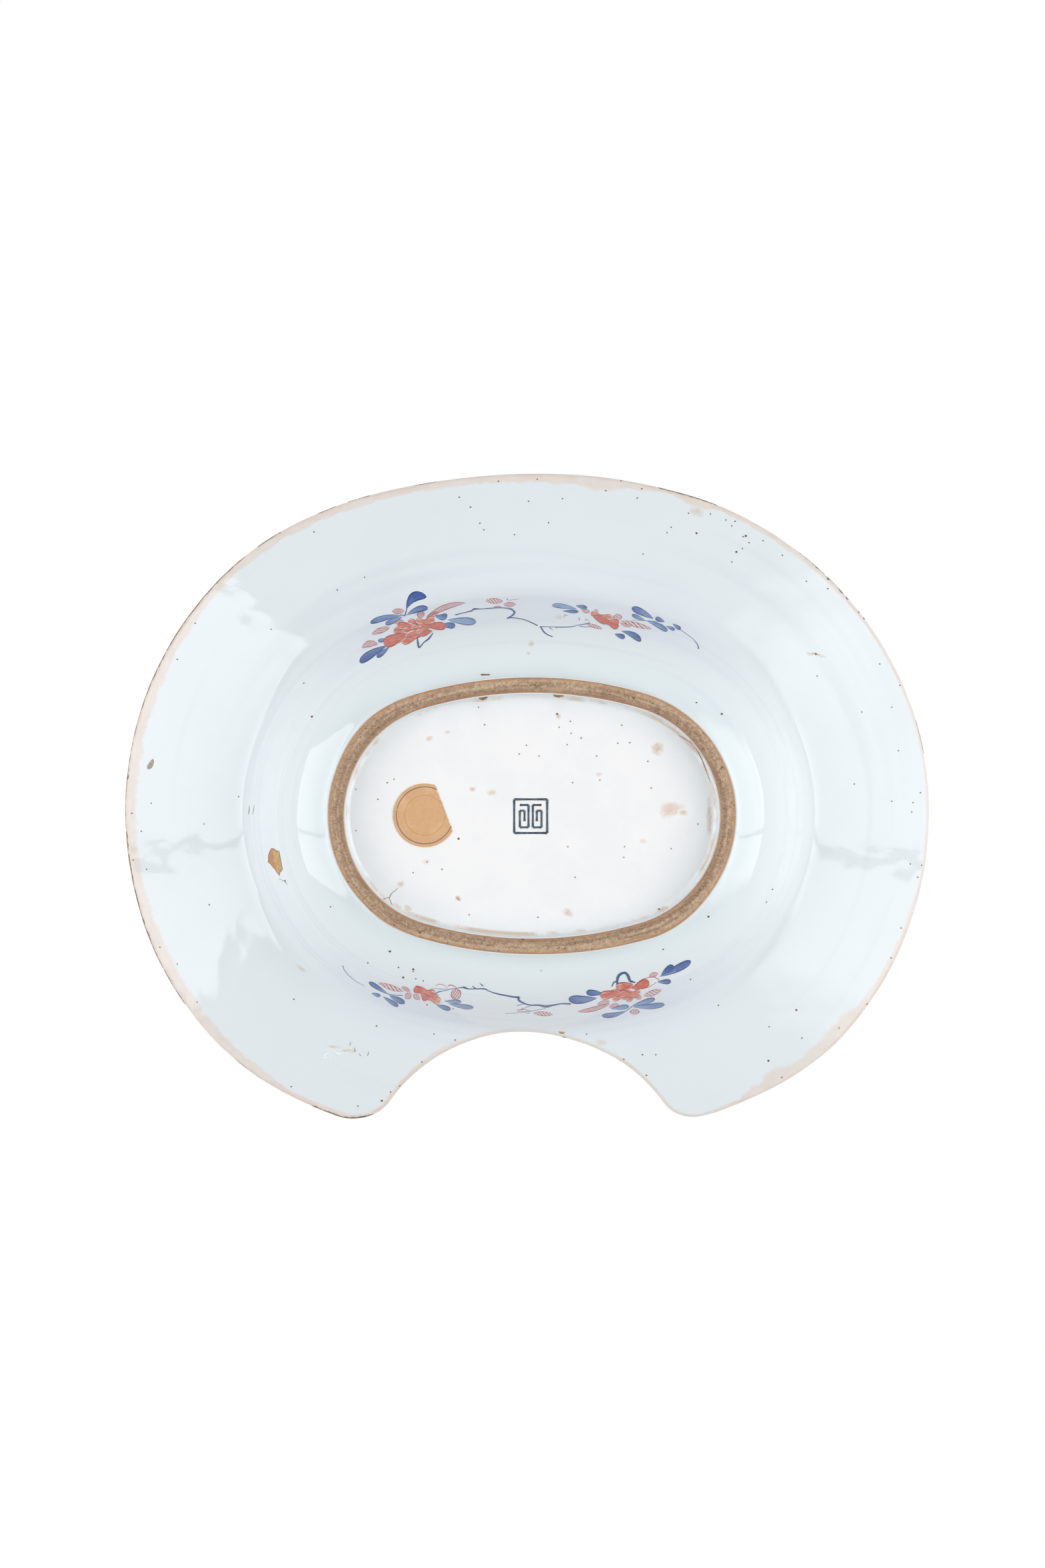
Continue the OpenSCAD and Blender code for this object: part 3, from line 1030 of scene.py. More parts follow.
def blot(sheet, middle, wide, tall, tilt=0.0, tone=0.5, land=on_underside, columns=16, rows=4):
    """A round mark with an uneven edge, so many pixels from its middle to its edge, turned by a tilt."""
    lean = Matrix.Rotation(math.radians(tilt), 2)
    start = Vector(middle)

    def pixel_at(along, across):
        turn = 2 * math.pi * along
        facing = Vector((math.cos(turn), math.sin(turn)))
        uneven = 1 + 0.25 * noise.noise(start.to_3d() * 0.37 + facing.to_3d() * 1.4)
        return start + lean @ Vector((facing.x * wide, facing.y * tall)) * across * uneven

    dab(sheet, columns, rows, pixel_at, tone, land, from_middle=True)


def stroke(sheet, points, tone=0.6, land=on_underside):
    """A brush line through points of x, y and half-width."""
    knots = [Vector(point) for point in points]
    knots = [2 * knots[0] - knots[1], *knots, 2 * knots[-1] - knots[-2]]
    spans = len(points) - 1

    def spline(share):
        span = min(int(share * spans), spans - 1)
        part = share * spans - span
        before, start, end, after = knots[span:span + 4]
        bend = (2 * before - 5 * start + 4 * end - after) * part * part
        twist = (3 * start - before - 3 * end + after) * part**3
        return 0.5 * (2 * start + (end - before) * part + bend + twist)

    def pixel_at(along, across):
        here = spline(along)
        run = spline(min(1, along + 0.01)) - spline(max(0, along - 0.01))
        side = Vector((run.y, -run.x)).normalized()
        return here.xy + side * across * max(0.15, here.z)

    dab(sheet, 6 * spans, 2, pixel_at, tone, land)


def paint_shades(place):
    """Shades of a sheet of brush marks: along, across, across without its sign, and tone."""
    along = place.own_map("skin").axis(0)
    across = along.part(1)
    return along, across, across.magnitude(), place.own_map("dab").axis(0)


def fire_paint(place, colour, alpha):
    """Ends a paint material as colour under the same gloss as the glaze."""
    place.fire({"Base Color": colour, "Roughness": 0.06, "IOR": glaze_ior, "Alpha": alpha})


def add_paint(name, sheet, material):
    """Adds a sheet of marks that lies on the glaze."""
    painted = add_piece(name, sheet, material)


blue_wash, place = new_finish("blue_wash")
along, across, edge, tone = paint_shades(place)
outer = edge.most((along - 0.8) * 5)
blotch = place.grain(420, 4, 0.6)
depth = tone + (blotch - 0.5) * 0.6 + (along - 0.6) * 0.4 + across * 0.12
wash = depth.between(0.05, 1.0).mix(srgb(148, 178, 220), srgb(48, 90, 160))
outline = (outer + (blotch - 0.5) * 0.35).between(0.58, 0.78) * (tone * 0.4 + 0.6)
blue = outline.mix(wash, srgb(32, 58, 116))
fire_paint(place, blue, edge.between(1.0, 0.9) * (tone * 0.2 + 0.76))

blue_line, place = new_finish("blue_line")
_, _, edge, tone = paint_shades(place)
blotch = place.grain(420, 4, 0.6)
blue = (tone + (blotch - 0.5) * 0.6).between(0.0, 1.0).mix(srgb(116, 150, 198), srgb(40, 72, 134))
fire_paint(place, blue, edge.between(1.0, 0.6) * (tone * 0.3 + 0.65))

red_ground, place = new_finish("red_ground")
_, _, edge, _ = paint_shades(place)
red = place.grain(500, 4, 0.6).between(0.3, 0.7).mix(srgb(230, 158, 138), srgb(214, 116, 94))
fire_paint(place, red, edge.between(1.0, 0.8) * 0.85)

red_wash, place = new_finish("red_wash")
along, _, edge, tone = paint_shades(place)
outer = edge.most((along - 0.8) * 5)
blotch = place.grain(500, 4, 0.6)
wash = (blotch + (tone - 0.5) * 0.6).between(0.25, 0.75).mix(srgb(228, 148, 126), srgb(208, 98, 76))
outline = (outer + (blotch - 0.5) * 0.2).between(0.72, 0.84)
bare_rim = outer.between(0.46, 0.58) * along.between(0.35, 0.6) * tone.between(0.72, 0.5)
red = bare_rim.mix(wash, srgb(242, 224, 220))
red = outline.mix(red, srgb(164, 58, 48))
fire_paint(place, red, edge.between(1.0, 0.95) * 0.92)

red_hatch, place = new_finish("red_hatch")
along, across, edge, tone = paint_shades(place)
veined = tone.between(0.55, 0.65)
ribs = (along * 5.5 + across * 0.8) * (1 - veined) + across * (2.6 - along * 0.6) * veined
rib_place = ribs.node("ShaderNodeMath", {"operation": "FRACT"}, {0: ribs})
rib = (rib_place - 0.5).magnitude().between(0.22, 0.12)
outline = edge.between(0.74, 0.86)
worn = place.grain(900, 3).between(0.25, 0.5)
cover = outline.most(rib * 0.85) * edge.between(1.0, 0.94) * (worn * 0.3 + 0.55) + 0.1
fire_paint(place, srgb(198, 84, 68), cover * edge.between(1.0, 0.97))

red_lines, place = new_finish("red_line")
_, _, edge, tone = paint_shades(place)
fire_paint(place, srgb(190, 80, 66), edge.between(1.0, 0.5) * (tone * 0.4 + 0.5))

# Blue leaves of both sprays: base, tip, half-width, bow, tone
spray_leaves = [
    ((609.6, 914), (639, 893), 8.3, 8.3, 0.95), ((610, 923), (642, 911.5), 5.1, 2.5, 0.6),
    ((604, 923.4), (555.6, 934.3), 4.8, -2.4, 0.6), ((604, 925.4), (578.4, 936.6), 4.2, 0, 0.6),
    ((580.4, 968.5), (539.8, 993.6), 6.6, -1.8, 0.9), ((584.3, 970.4), (565.5, 986.1), 4.0, 0, 0.75),
    ((584.3, 959), (567, 961.5), 3.2, 0, 0.6), ((652.5, 923.8), (671.3, 923), 5.2, -2.6, 0.7),
    ((661.4, 937.2), (683.2, 938.8), 5.0, 0, 0.75), ((671.3, 930), (714.4, 932.9), 6.3, 0, 0.3),
    ((866.3, 914), (828.4, 908), 4.1, -1.2, 0.25), ((863.7, 908.5), (880.9, 912), 3.4, 0, 0.7),
    ((843.9, 916.7), (868, 917.5), 2.9, 0, 0.7), ((980.8, 928.2), (948.1, 911.5), 5.5, -0.5, 0.65),
    ((967.9, 930.5), (948.1, 922.2), 3.3, 0, 0.6), ((997.2, 933), (983.4, 927), 3.8, 0, 0.7),
    ((970.5, 931.3), (1001.5, 946.8), 4.2, 1.6, 0.6), ((999.8, 939), (1012.7, 945.1), 2.8, 0, 0.6),
    ((1009.2, 935.6), (1021.3, 944.2), 3.1, 0, 0.7), ((922.3, 951.1), (937.8, 956.3), 3.9, 0, 0.8),
    ((932.6, 946.8), (961.9, 961.5), 5.0, 2.7, 0.8), ((582.3, 1491.2), (553.6, 1473), 3.8, 0, 0.75),
    ((557.4, 1489.7), (570.8, 1494.1), 2.9, 0, 0.6), ((574.6, 1495), (597.6, 1509.4), 3.6, 0, 0.6),
    ((584.2, 1493.1), (607.1, 1504.6), 4.6, 0, 0.7), ((666.4, 1501.7), (692.3, 1502.7), 3.4, 0, 0.5),
    ((673.1, 1505.6), (710.4, 1511.3), 3.8, -0.8, 0.5), ((654.6, 1507.5), (676, 1514.2), 3.8, 0, 0.65),
    ((895.8, 1497), (853.2, 1498.9), 6.9, 1.4, 0.65), ((905.4, 1490.3), (879.6, 1488.4), 5.0, 0, 0.75),
    ((992.4, 1461.6), (1010.6, 1448.2), 5.2, 0, 0.95),
    ((989.6, 1464.8), (1036.5, 1441.5), 6.0, -1.0, 0.75),
    ((986.7, 1473), (1006.8, 1472.1), 4.2, 0, 0.75), ((916.9, 1513.2), (943.7, 1509.4), 3.8, 0, 0.45),
    ((948.4, 1508.8), (982.9, 1497.9), 4.2, 0, 0.5), ((948.4, 1510), (997.2, 1506.5), 4.6, -1.4, 0.5),
    ((939.8, 1516.1), (903.1, 1523.7), 4.0, 2.2, 0.6),
]
# Branches, stems, hooks and tendrils: points of x, y and half-width, and a tone
spray_lines = [
    ([(683, 922.4, 1.1), (695, 919.4, 0.8), (707, 916.5, 1.2), (712, 913.6, 1.6), (722, 913.5, 0.7),
      (735, 912.5, 0.9), (750, 911.9, 0.7), (762, 912.9, 0.8), (769, 915.1, 1.4), (772, 919, 1.8),
      (768, 923.8, 1.4), (760.3, 927.7, 0.9)], 0.75),
    ([(760.3, 927.7, 1.0), (767, 926.7, 1.0), (778, 927.7, 0.8), (790, 930.7, 0.8), (800, 935.2, 0.9),
      (806.7, 938.6, 1.0)], 0.75),
    ([(811, 940, 1.2), (816, 947.7, 1.3), (822, 952.3, 1.0), (829, 955.1, 1.0)], 0.7),
    ([(810, 940, 0.9), (826, 940.3, 0.5), (841, 940.8, 0.9), (857, 940.3, 0.8), (869, 937.4, 0.6),
      (877.5, 936.2, 0.9), (885.2, 934.4, 1.0)], 0.5),
    ([(824, 940.3, 0.7), (829.3, 945.5, 0.5)], 0.55), ([(833.6, 940.5, 0.6), (836, 942.6, 0.5)], 0.5),
    ([(869, 939, 0.7), (877.5, 940.5, 0.6), (890.4, 940.3, 0.4)], 0.4),
    ([(607.2, 924.5, 1.2), (609.5, 917, 0.9), (611, 911, 0.6)], 0.85),
    ([(601, 921.5, 0.5), (608, 924.4, 0.7)], 0.7), ([(764, 900.6, 0.4), (779, 898.7, 0.3)], 0.25),
    ([(755, 910.5, 0.4), (770, 913, 0.3)], 0.25),
    ([(625.8, 957, 1.0), (627.2, 964.5, 1.8), (629, 971.4, 1.4), (635.8, 964, 1.0), (643.6, 957.8, 1.6),
      (649.6, 949.5, 0.8)], 0.75),
    ([(1020.4, 944.2, 0.5), (1030.8, 951.6, 0.4), (1041.1, 959.7, 0.5), (1047.1, 968.4, 0.9),
      (1048, 973.5, 1.5)], 0.7),
    ([(949, 930, 0.4), (968, 931, 0.6), (985, 932.5, 0.4)], 0.35),
    ([(514.3, 1448.2, 0.9), (517.2, 1455.8, 0.6), (524.9, 1464.4, 0.5), (534.4, 1472.1, 0.4),
      (547.8, 1479.4, 0.2)], 0.45),
    ([(581.3, 1490.8, 0.8), (592, 1492.6, 0.7), (604.3, 1493.1, 0.8)], 0.5),
    ([(646.4, 1482.6, 0.3), (660, 1483.2, 0.5), (673.1, 1484, 0.4)], 0.3),
    ([(653, 1490.3, 0.4), (658, 1487.8, 1.1), (664, 1486.6, 0.6), (673.1, 1484.5, 0.5)], 0.5),
    ([(673.1, 1484, 0.5), (682, 1482.6, 0.5), (693, 1481.3, 0.9), (697, 1481.3, 1.9),
      (702.8, 1483.2, 0.9), (712.4, 1483.2, 0.8), (726.7, 1483.2, 1.1), (733.4, 1486.4, 0.8),
      (744.9, 1490.3, 1.1), (758.3, 1493.1, 1.3), (771.7, 1495.4, 1.5), (779.3, 1496, 1.9)], 0.75),
    ([(779.3, 1496, 2.0), (778, 1499.8, 1.8), (784, 1503.7, 1.4), (794.4, 1507.5, 1.1),
      (807.8, 1507.7, 1.4), (819.3, 1509.6, 2.2), (830.8, 1507.5, 1.3), (842.3, 1505.6, 1.0),
      (856.6, 1505.8, 1.5)], 0.75),
    ([(708.5, 1478.8, 0.4), (713.3, 1482.6, 1.2)], 0.8),
    ([(719.6, 1474.6, 0.3), (724.8, 1478.8, 1.3)], 0.8),
    ([(775.3, 1508.5, 0.6), (789, 1505, 0.4)], 0.45), ([(781, 1514.2, 0.5), (796.4, 1508.8, 0.3)], 0.4),
    ([(758, 1520.5, 0.3), (790, 1517.5, 0.4), (819.3, 1512.3, 0.4)], 0.25),
    ([(917.8, 1479.7, 0.9), (921.7, 1473, 1.2), (926.4, 1473, 0.9)], 0.85),
    ([(926.4, 1480.7, 1.2), (926.4, 1468.3, 2.4), (930.3, 1461.6, 2.4), (937.9, 1459.1, 2.2),
      (942.7, 1464.4, 2.6), (945.6, 1471.1, 2.2), (953.2, 1473.6, 1.0)], 0.8),
    ([(948.4, 1509.4, 0.7), (944, 1513, 0.6), (939.8, 1516.1, 0.7)], 0.55),
]
# Petals of the red peonies: base, tip, half-width, bow, tone
spray_petals = [
    ((608, 951), (576, 966.5), 7.8, 0, 0.7), ((604, 949), (591, 944), 4.6, 0, 0.6),
    ((618, 938), (596, 939.5), 5.6, 0, 0.6), ((631, 936), (612, 932), 4.4, 0, 0.5),
    ((640, 938), (624, 929.5), 4.6, 0, 0.45), ((634, 936), (652, 928.5), 5.4, 0, 0.55),
    ((622, 945), (605, 946), 5.0, 0, 0.55), ((634, 943), (617, 940.5), 5.0, 0, 0.4),
    ((641, 940), (628, 937), 4.0, 0, 0.5), ((640, 940), (669, 939.5), 5.6, 0.6, 0.75),
    ((645, 944), (609, 955), 7.0, 0, 0.55), ((624, 957), (603, 963.5), 4.8, 0, 0.6),
    ((649, 946), (630, 952.5), 3.8, 0, 0.75), ((639, 942), (625, 949), 4.0, 0, 0.4),
    ((887, 924), (893, 918.6), 3.6, 0, 0.35), ((889, 924), (913, 933.5), 5.2, 0, 0.8),
    ((902, 925), (919, 927.5), 4.2, 0.6, 0.35), ((911, 934), (928, 941), 4.6, 0, 0.85),
    ((913, 931), (929, 934), 3.6, 0, 0.7), ((633.9, 1489.3), (621.5, 1481.3), 5.2, 0, 0.75),
    ((636.8, 1487.4), (653, 1491.2), 5.4, 0, 0.4), ((632, 1489.3), (641.6, 1499.8), 5.0, 0, 0.7),
    ((644.4, 1496), (660.7, 1502.7), 5.0, 0, 0.2), ((645, 1490), (657, 1497), 4.0, 0, 0.6),
    ((926.4, 1487.4), (900.6, 1494.1), 6.0, 0.8, 0.6), ((949.4, 1475.9), (924.5, 1480.7), 5.4, 0, 0.6),
    ((948.4, 1482.6), (974, 1472.5), 6.0, 0, 0.75), ((948.4, 1489.3), (930.3, 1491.2), 5.0, 0, 0.6),
    ((949.4, 1489.3), (961, 1487.4), 3.6, 0, 0.4), ((934, 1495), (919, 1499), 3.6, 0, 0.5),
    ((951.3, 1496), (939.8, 1501), 3.2, 0, 0.5), ((951.3, 1496), (962.8, 1496), 2.8, 0, 0.4),
    ((940, 1482), (928, 1478), 3.6, 0, 0.45),
]
# Hatched red buds and leaves: base, tip, half-width, bow, tone
spray_buds = [
    ((607, 916.5), (588, 917.5), 4.2, 0, 0.8), ((585.3, 941.2), (557.6, 951.7), 4.4, -0.8, 0.6),
    ((567.5, 965.9), (542.8, 972.2), 4.9, -3.4, 0.6), ((606, 931.3), (592, 935.2), 3.6, 0, 0.6),
    ((632.8, 927.3), (630, 917), 6.0, 0, 0.2), ((755.3, 902), (728.6, 901), 4.2, 0, 0.5),
    ((755.3, 906.8), (774.5, 906.6), 3.6, 0, 0.9), ((740.5, 910.5), (753.4, 910.5), 1.8, 0, 1.0),
    ((886, 918.4), (872.3, 915), 3.0, 0, 0.7), ((896.4, 920), (892, 914.5), 3.4, 0, 0.2),
    ((926.6, 931), (926.6, 920.5), 7.0, 0, 0.3), ((602.4, 1480.1), (615.7, 1487), 3.0, 0, 0.8),
    ((617, 1489.3), (608, 1498.2), 5.0, 0, 0.2), ((619.6, 1491.2), (630.1, 1499.3), 4.0, 0, 0.0),
    ((679, 1484.5), (689.5, 1498), 8.6, 0, 0.3), ((829.8, 1521.8), (800.2, 1519.5), 3.5, 0, 0.2),
    ((973.3, 1464.4), (988, 1459.7), 3.6, 0, 0.3), ((965.7, 1494.1), (993, 1484.5), 4.4, 0, 0.4),
    ((895.8, 1506.5), (915, 1501.7), 3.4, 0, 0.6), ((914, 1510.4), (929.3, 1506.5), 3.4, 0, 0.5),
    ((952.3, 1513), (952.3, 1522), 7.6, 0, 0.6), ((638.7, 927.3), (699, 904), 4.4, 4.6, 0.7),
    ((639.7, 926.3), (658.5, 918.4), 4.0, 0, 0.9), ((930.9, 931.3), (978.2, 943.4), 3.8, 0, 0.5),
    ((930, 934.8), (946.4, 940.8), 2.3, 0, 0.6), ((879.2, 935.6), (904.2, 943.4), 2.8, 0, 0.5),
    ((605.2, 1487), (567.9, 1474), 4.0, 0.5, 0.5), ((915.9, 1504.6), (866.2, 1517.4), 3.6, 2.4, 0.9),
]
# Fine red lines: points of x, y and half-width, and a tone
spray_red_lines = [
    ([(846.5, 922.7, 0.5), (847.4, 926.2, 0.4)], 0.6), ([(846.5, 922.7, 0.5), (851.7, 923.6, 0.4)], 0.6),
    ([(868, 926.2, 0.5), (869.4, 928.8, 0.8), (868.5, 931.4, 0.4)], 0.6),
    ([(877.5, 929.3, 0.4), (879.5, 931, 0.5)], 0.6), ([(878.4, 929.3, 0.5), (884.4, 931, 0.4)], 0.6),
    ([(760.5, 898.2, 0.9), (762.6, 901.4, 0.5)], 0.7),
    ([(654, 1478.8, 0.5), (658.8, 1476, 0.5), (666.4, 1477.8, 0.5), (671.2, 1481.3, 0.4)], 0.6),
    ([(672.2, 1478.8, 0.9), (677, 1477.5, 0.8), (684.6, 1480.7, 0.6)], 0.7),
    ([(775.5, 1515, 0.5), (785, 1514.2, 0.6), (794.6, 1516.5, 0.5), (793, 1520.5, 0.4)], 0.4),
    ([(775.5, 1516.5, 0.4), (785, 1517, 0.5), (793, 1520.5, 0.4)], 0.4),
    ([(948.4, 1482.6, 0.4), (962, 1470, 0.5), (979, 1465.5, 0.6), (987.5, 1468.5, 0.7),
      (988.5, 1471.5, 0.4)], 0.6),
    ([(963, 1483.6, 0.5), (975, 1479.7, 0.5), (984.8, 1473.6, 0.4)], 0.6),
]

# Ground washes under the peonies: middle, half-width, half-height, tilt
spray_grounds = [
    ((634, 937), 21, 8, -8), ((622, 946), 24, 9, -14), ((596, 958), 19, 7.5, -27),
    ((654, 938.5), 14, 5.5, 0), ((613, 960), 12, 5, -15), ((895, 922.5), 9, 4, 25),
    ((908, 930), 17, 6.5, 24), ((920, 937), 10, 4.5, 22), ((634, 1486), 12, 6, 25),
    ((642, 1493), 14, 8, 30), ((921, 1490), 21, 6, -12), ((938, 1480), 15, 6.5, -10),
    ((942, 1492), 16, 7.5, -5), ((961, 1478), 15, 5, -22),
]
petal_fullness = 1.15
spray_finishes = {
    "blue_leaves": blue_wash,
    "red_grounds": red_ground,
    "red_peonies": red_wash,
    "red_buds": red_hatch,
    "blue_branches": blue_line,
    "red_lines": red_lines,
}


def brush_sprays(sheets, land, keep):
    """Paints the marks whose first pixel is kept, each on the sheet of its finish."""

    def leaves(name, marks, fullness, blunt):
        for base_pixel, tip_pixel, width, bow, tone in marks:
            if keep(base_pixel):
                leaf(sheets[name], base_pixel, tip_pixel, width * fullness, bow, tone, blunt, land)

    def lines(name, marks):
        for points, tone in marks:
            if keep(points[0]):
                stroke(sheets[name], points, tone, land)

    leaves("blue_leaves", spray_leaves, 1.0, True)
    for middle_pixel, wide, tall, tilt in spray_grounds:
        if keep(middle_pixel):
            blot(sheets["red_grounds"], middle_pixel, wide, tall, tilt, 0.5, land)
    leaves("red_peonies", spray_petals, petal_fullness, True)
    leaves("red_buds", spray_buds, 1.0, False)
    lines("blue_branches", spray_lines)
    lines("red_lines", spray_red_lines)


def add_sprays(first_word, sheets):
    """Adds the sheets of the sprays as pieces whose names start with a word."""
    for name, finish in spray_finishes.items():
        add_paint(f"{first_word}_{name}", sheets[name], finish)


sheets = {name: new_paint() for name in spray_finishes}
brush_sprays(sheets, on_underside, lambda pixel: True)
add_sprays("spray", sheets)

# Inside painting
# The side that faces away from the camera, a restrained guess in the same brushwork: blue lines round
# the rim and the well, the two sprays on the flange and a cluster of blossom on the floor of the well.
spray_ring = 88 * mm
blossom_scale = 1.5
upper_middle = (785, 930)
lower_middle = (775, 1490)
blossom_middle = (622, 942)
blossom_right = 682
between_sprays = 1200
# Blue lines by their inset from the edge, or their ring radius, and their half-width
rim_lines = ((5.6 * mm, 0.45 * mm), (7.2 * mm, 0.2 * mm))
well_lines = ((60.4 * mm, 0.15 * mm), (61.8 * mm, 0.32 * mm))
line_tone = 0.6
ring_steps = 720


def on_topside(spot, lift):
    """Point on the inside glaze over a plan point."""
    return Vector((spot.x, spot.y, topside(spot) + lift))


def on_flange(facing, ring, middle):
    """A way to land a spray on the inside of the flange, upright to someone who looks from the middle."""
    turns = even_turns(ring, ring_steps)
    length = oval_length(ring)
    start = min(range(ring_steps), key=lambda step: abs(turns[step] - facing))

    def land(pixel, lift):
        steps = start - (pixel[0] - middle[0]) * pixel_size / length * ring_steps
        first = math.floor(steps)
        turn = turns[first % ring_steps]
        turn += (turns[first % ring_steps + 1] - turn) * (steps - first)
        return on_topside(ring_place(turn, ring + (middle[1] - pixel[1]) * pixel_size), lift)

    return land


def on_well_floor(pixel, lift):
    """Lands the blossom on the floor of the well, larger than on the sprays."""
    off = (Vector(pixel[:2]) - Vector(blossom_middle)) * pixel_size * blossom_scale
    return on_topside(Vector((off.x, oval_y - off.y)), lift)


def on_rim_inside(rim_place, lift):
    return on_topside(outline_place(*rim_place), lift)


def on_well_edge(well_place, lift):
    return on_topside(ring_place(*well_place), lift)


def in_upper(pixel):
    return pixel[1] < between_sprays


def in_lower(pixel):
    return pixel[1] > between_sprays


def in_blossom(pixel):
    return in_upper(pixel) and pixel[0] < blossom_right


def rim_line(inset, half):
    """A line of a half-width round the rim, at an inset from its edge."""
    return lambda along, across: (lip_columns * along, inset - across * half)


def well_line(ring, half):
    """A line of a half-width round the well, at a ring radius."""
    return lambda along, across: (well_turns[round(lip_columns * along)], ring - across * half)


sheets = {name: new_paint() for name in spray_finishes}
brush_sprays(sheets, on_flange(math.pi / 2, spray_ring, upper_middle), in_upper)
for facing in (0.0, math.pi):
    brush_sprays(sheets, on_flange(facing, spray_ring, lower_middle), in_lower)
brush_sprays(sheets, on_well_floor, in_blossom)
add_sprays("inside", sheets)
sheet = new_paint()
well_turns = even_turns(well_lines[0][0], lip_columns)
for inset, half in rim_lines:
    dab(sheet, lip_columns, 2, rim_line(inset, half), line_tone, on_rim_inside)
for ring, half in well_lines:
    dab(sheet, lip_columns, 2, well_line(ring, half), line_tone, on_well_edge)
bmesh.ops.reverse_faces(sheet, faces=[face for face in sheet.faces if face.normal.z < 0])
add_paint("inside_blue_lines", sheet, blue_line)

# Base mark
# A square seal-like mark in underglaze blue-black in the middle of the base, brushed on before the
# glaze: a frame round a plain key-fret.
mark_corners = [(771.5, 1199), (821, 1199), (821, 1249.5), (771.5, 1249.5)]
mark_middle = 796.25
fret = [(780, 1207.5), (793, 1207.5), (793, 1241), (780, 1241), (780, 1216), (787, 1216), (787, 1232)]
brush_half = 1.9
brush_end = 1.25 * brush_half


def base_at(spot):
    """Height of the base glaze over a plan point inside the foot."""
    ring, _ = ring_of(spot)
    past = min(max(0.0, ring - base_fillet_ring), base_fillet * 0.98)
    return base_level - base_fillet + math.sqrt(base_fillet**2 - past**2)


on_base = seen_on(base_at)
mark_ink, place = new_finish("mark_ink")
_, _, edge, _ = paint_shades(place)
pooled = place.grain(700, 3, 0.6)
ink = pooled.between(0.35, 0.65).mix(srgb(46, 58, 68), srgb(74, 104, 128))
fire_paint(place, ink, edge.between(1.0, 0.55) * 0.92)
mirrored_fret = [(2 * mark_middle - x, y) for x, y in fret]
sheet = new_paint()
for path in (mark_corners + mark_corners[:1], fret, mirrored_fret):
    for start_pixel, end_pixel in zip(path, path[1:]):
        middle_pixel = (Vector(start_pixel) + Vector(end_pixel)) / 2
        points = [(*start_pixel, brush_end), (*middle_pixel, brush_half), (*end_pixel, brush_end)]
        stroke(sheet, points, 0.8, on_base)
add_paint("base_mark", sheet, mark_ink)

# Iron spots
# Specks of iron in the clay that burnt through the glaze: a brown heart with a rusty ring. They lie
# thickest on the flange away from the neck and on the base.
spots_outside = [
    (748, 722), (689, 746), (706, 761), (793, 752), (720, 785), (726, 795), (772, 802), (471, 798),
    (547, 866), (506, 885), (293, 935), (266, 989), (407, 944), (456, 1025), (358, 1195), (227, 1205),
    (198, 1220), (306, 1236), (806, 719), (844, 748), (823, 784), (932, 721), (909, 736), (963, 733),
    (956, 747), (1033, 770), (1066, 771), (1089, 780), (1103, 782), (1098, 789), (1007, 791),
    (1001, 799), (1115, 805), (1124, 814), (1114, 823), (1145, 811), (1174, 833), (1098, 843),
    (965, 831), (1210, 872), (1242, 883), (1226, 1014), (1320, 996), (1350, 1028), (1338, 1061),
    (1293, 1068), (1348, 1126), (1282, 1176), (1381, 1189), (1338, 1202), (1370, 1204), (1368, 1218),
    (1045, 1054), (212, 1247), (200, 1290), (220, 1304), (314, 1357), (240, 1421), (266, 1446),
    (296, 1503), (441, 1499), (565, 1539), (651, 1551), (683, 1560), (633, 1593), (600, 1629),
    (586, 1638), (437, 1630), (537, 1659), (552, 1444), (598, 1451), (624, 1468), (635, 1471),
    (620, 1457), (428, 1321), (496, 1360), (606, 1505), (641, 1507), (680, 1513), (1366, 1296),
    (1383, 1298), (1377, 1316), (1352, 1392), (1337, 1437), (1301, 1506), (1078, 1508), (1154, 1540),
    (1259, 1542), (1203, 1557), (1173, 1616), (984, 1582), (964, 1582), (936, 1589), (970, 1613),
    (880, 1551), (1150, 1353), (1159, 1334), (995, 1424), (1036, 1469),
]
large_spots_outside = [
    (1045, 800), (1105, 828), (1119, 804), (573, 1651), (585, 1427), (605, 1466), (620, 1454),
    (1195, 1515), (1153, 1591), (1063, 1375), (1083, 1071), (468, 1075), (1224, 981),
]
spots_base = [
    (718, 1061), (727, 1087), (790, 1118), (779, 1131), (581, 1174), (591, 1169), (534, 1246),
    (567, 1199), (534, 1184), (620, 1309), (641, 1293), (663, 1304), (704, 1372), (933, 1088),
    (857, 1100), (851, 1117), (809, 1134), (945, 1114), (895, 1134), (927, 1115), (972, 1142),
    (900, 1170), (859, 1174), (977, 1182), (839, 1091), (856, 1082), (872, 1107), (937, 1270),
    (936, 1286), (852, 1270), (863, 1316), (807, 1376), (1047, 1236), (1007, 1273),
]
large_spots_base = [(688, 1258), (836, 1071), (989, 1364)]
small_spot = 1.55
large_spot = 2.3
spot_columns = 10
spot_rows = 3

iron_spot, place = new_finish("iron_spot")
_, _, edge, tone = paint_shades(place)
heart = tone.mix(srgb(178, 146, 112), srgb(62, 48, 38))
burnt = (edge + (place.grain(1500, 2) - 0.5) * 0.5).between(0.5, 0.74).mix(heart, srgb(200, 170, 134))
fire_paint(place, burnt, edge.between(1.0, 0.5) * 0.9)
sheet = new_paint()
for spots, size, tone, land in (
    (spots_outside, small_spot, 0.85, on_underside),
    (large_spots_outside, large_spot, 0.9, on_underside),
    (spots_base, small_spot, 0.35, on_base),
    (large_spots_base, large_spot, 0.75, on_base),
):
    for spot_pixel in spots:
        chance = noise.noise(Vector((*spot_pixel, 0)) * 0.73)
        wide = size * (1 + 0.45 * chance)
        tall = size * (1 - 0.2 * chance)
        blot(sheet, spot_pixel, wide, tall, 0, tone + 0.3 * chance, land, spot_columns, spot_rows)
add_paint("iron_spots", sheet, iron_spot)

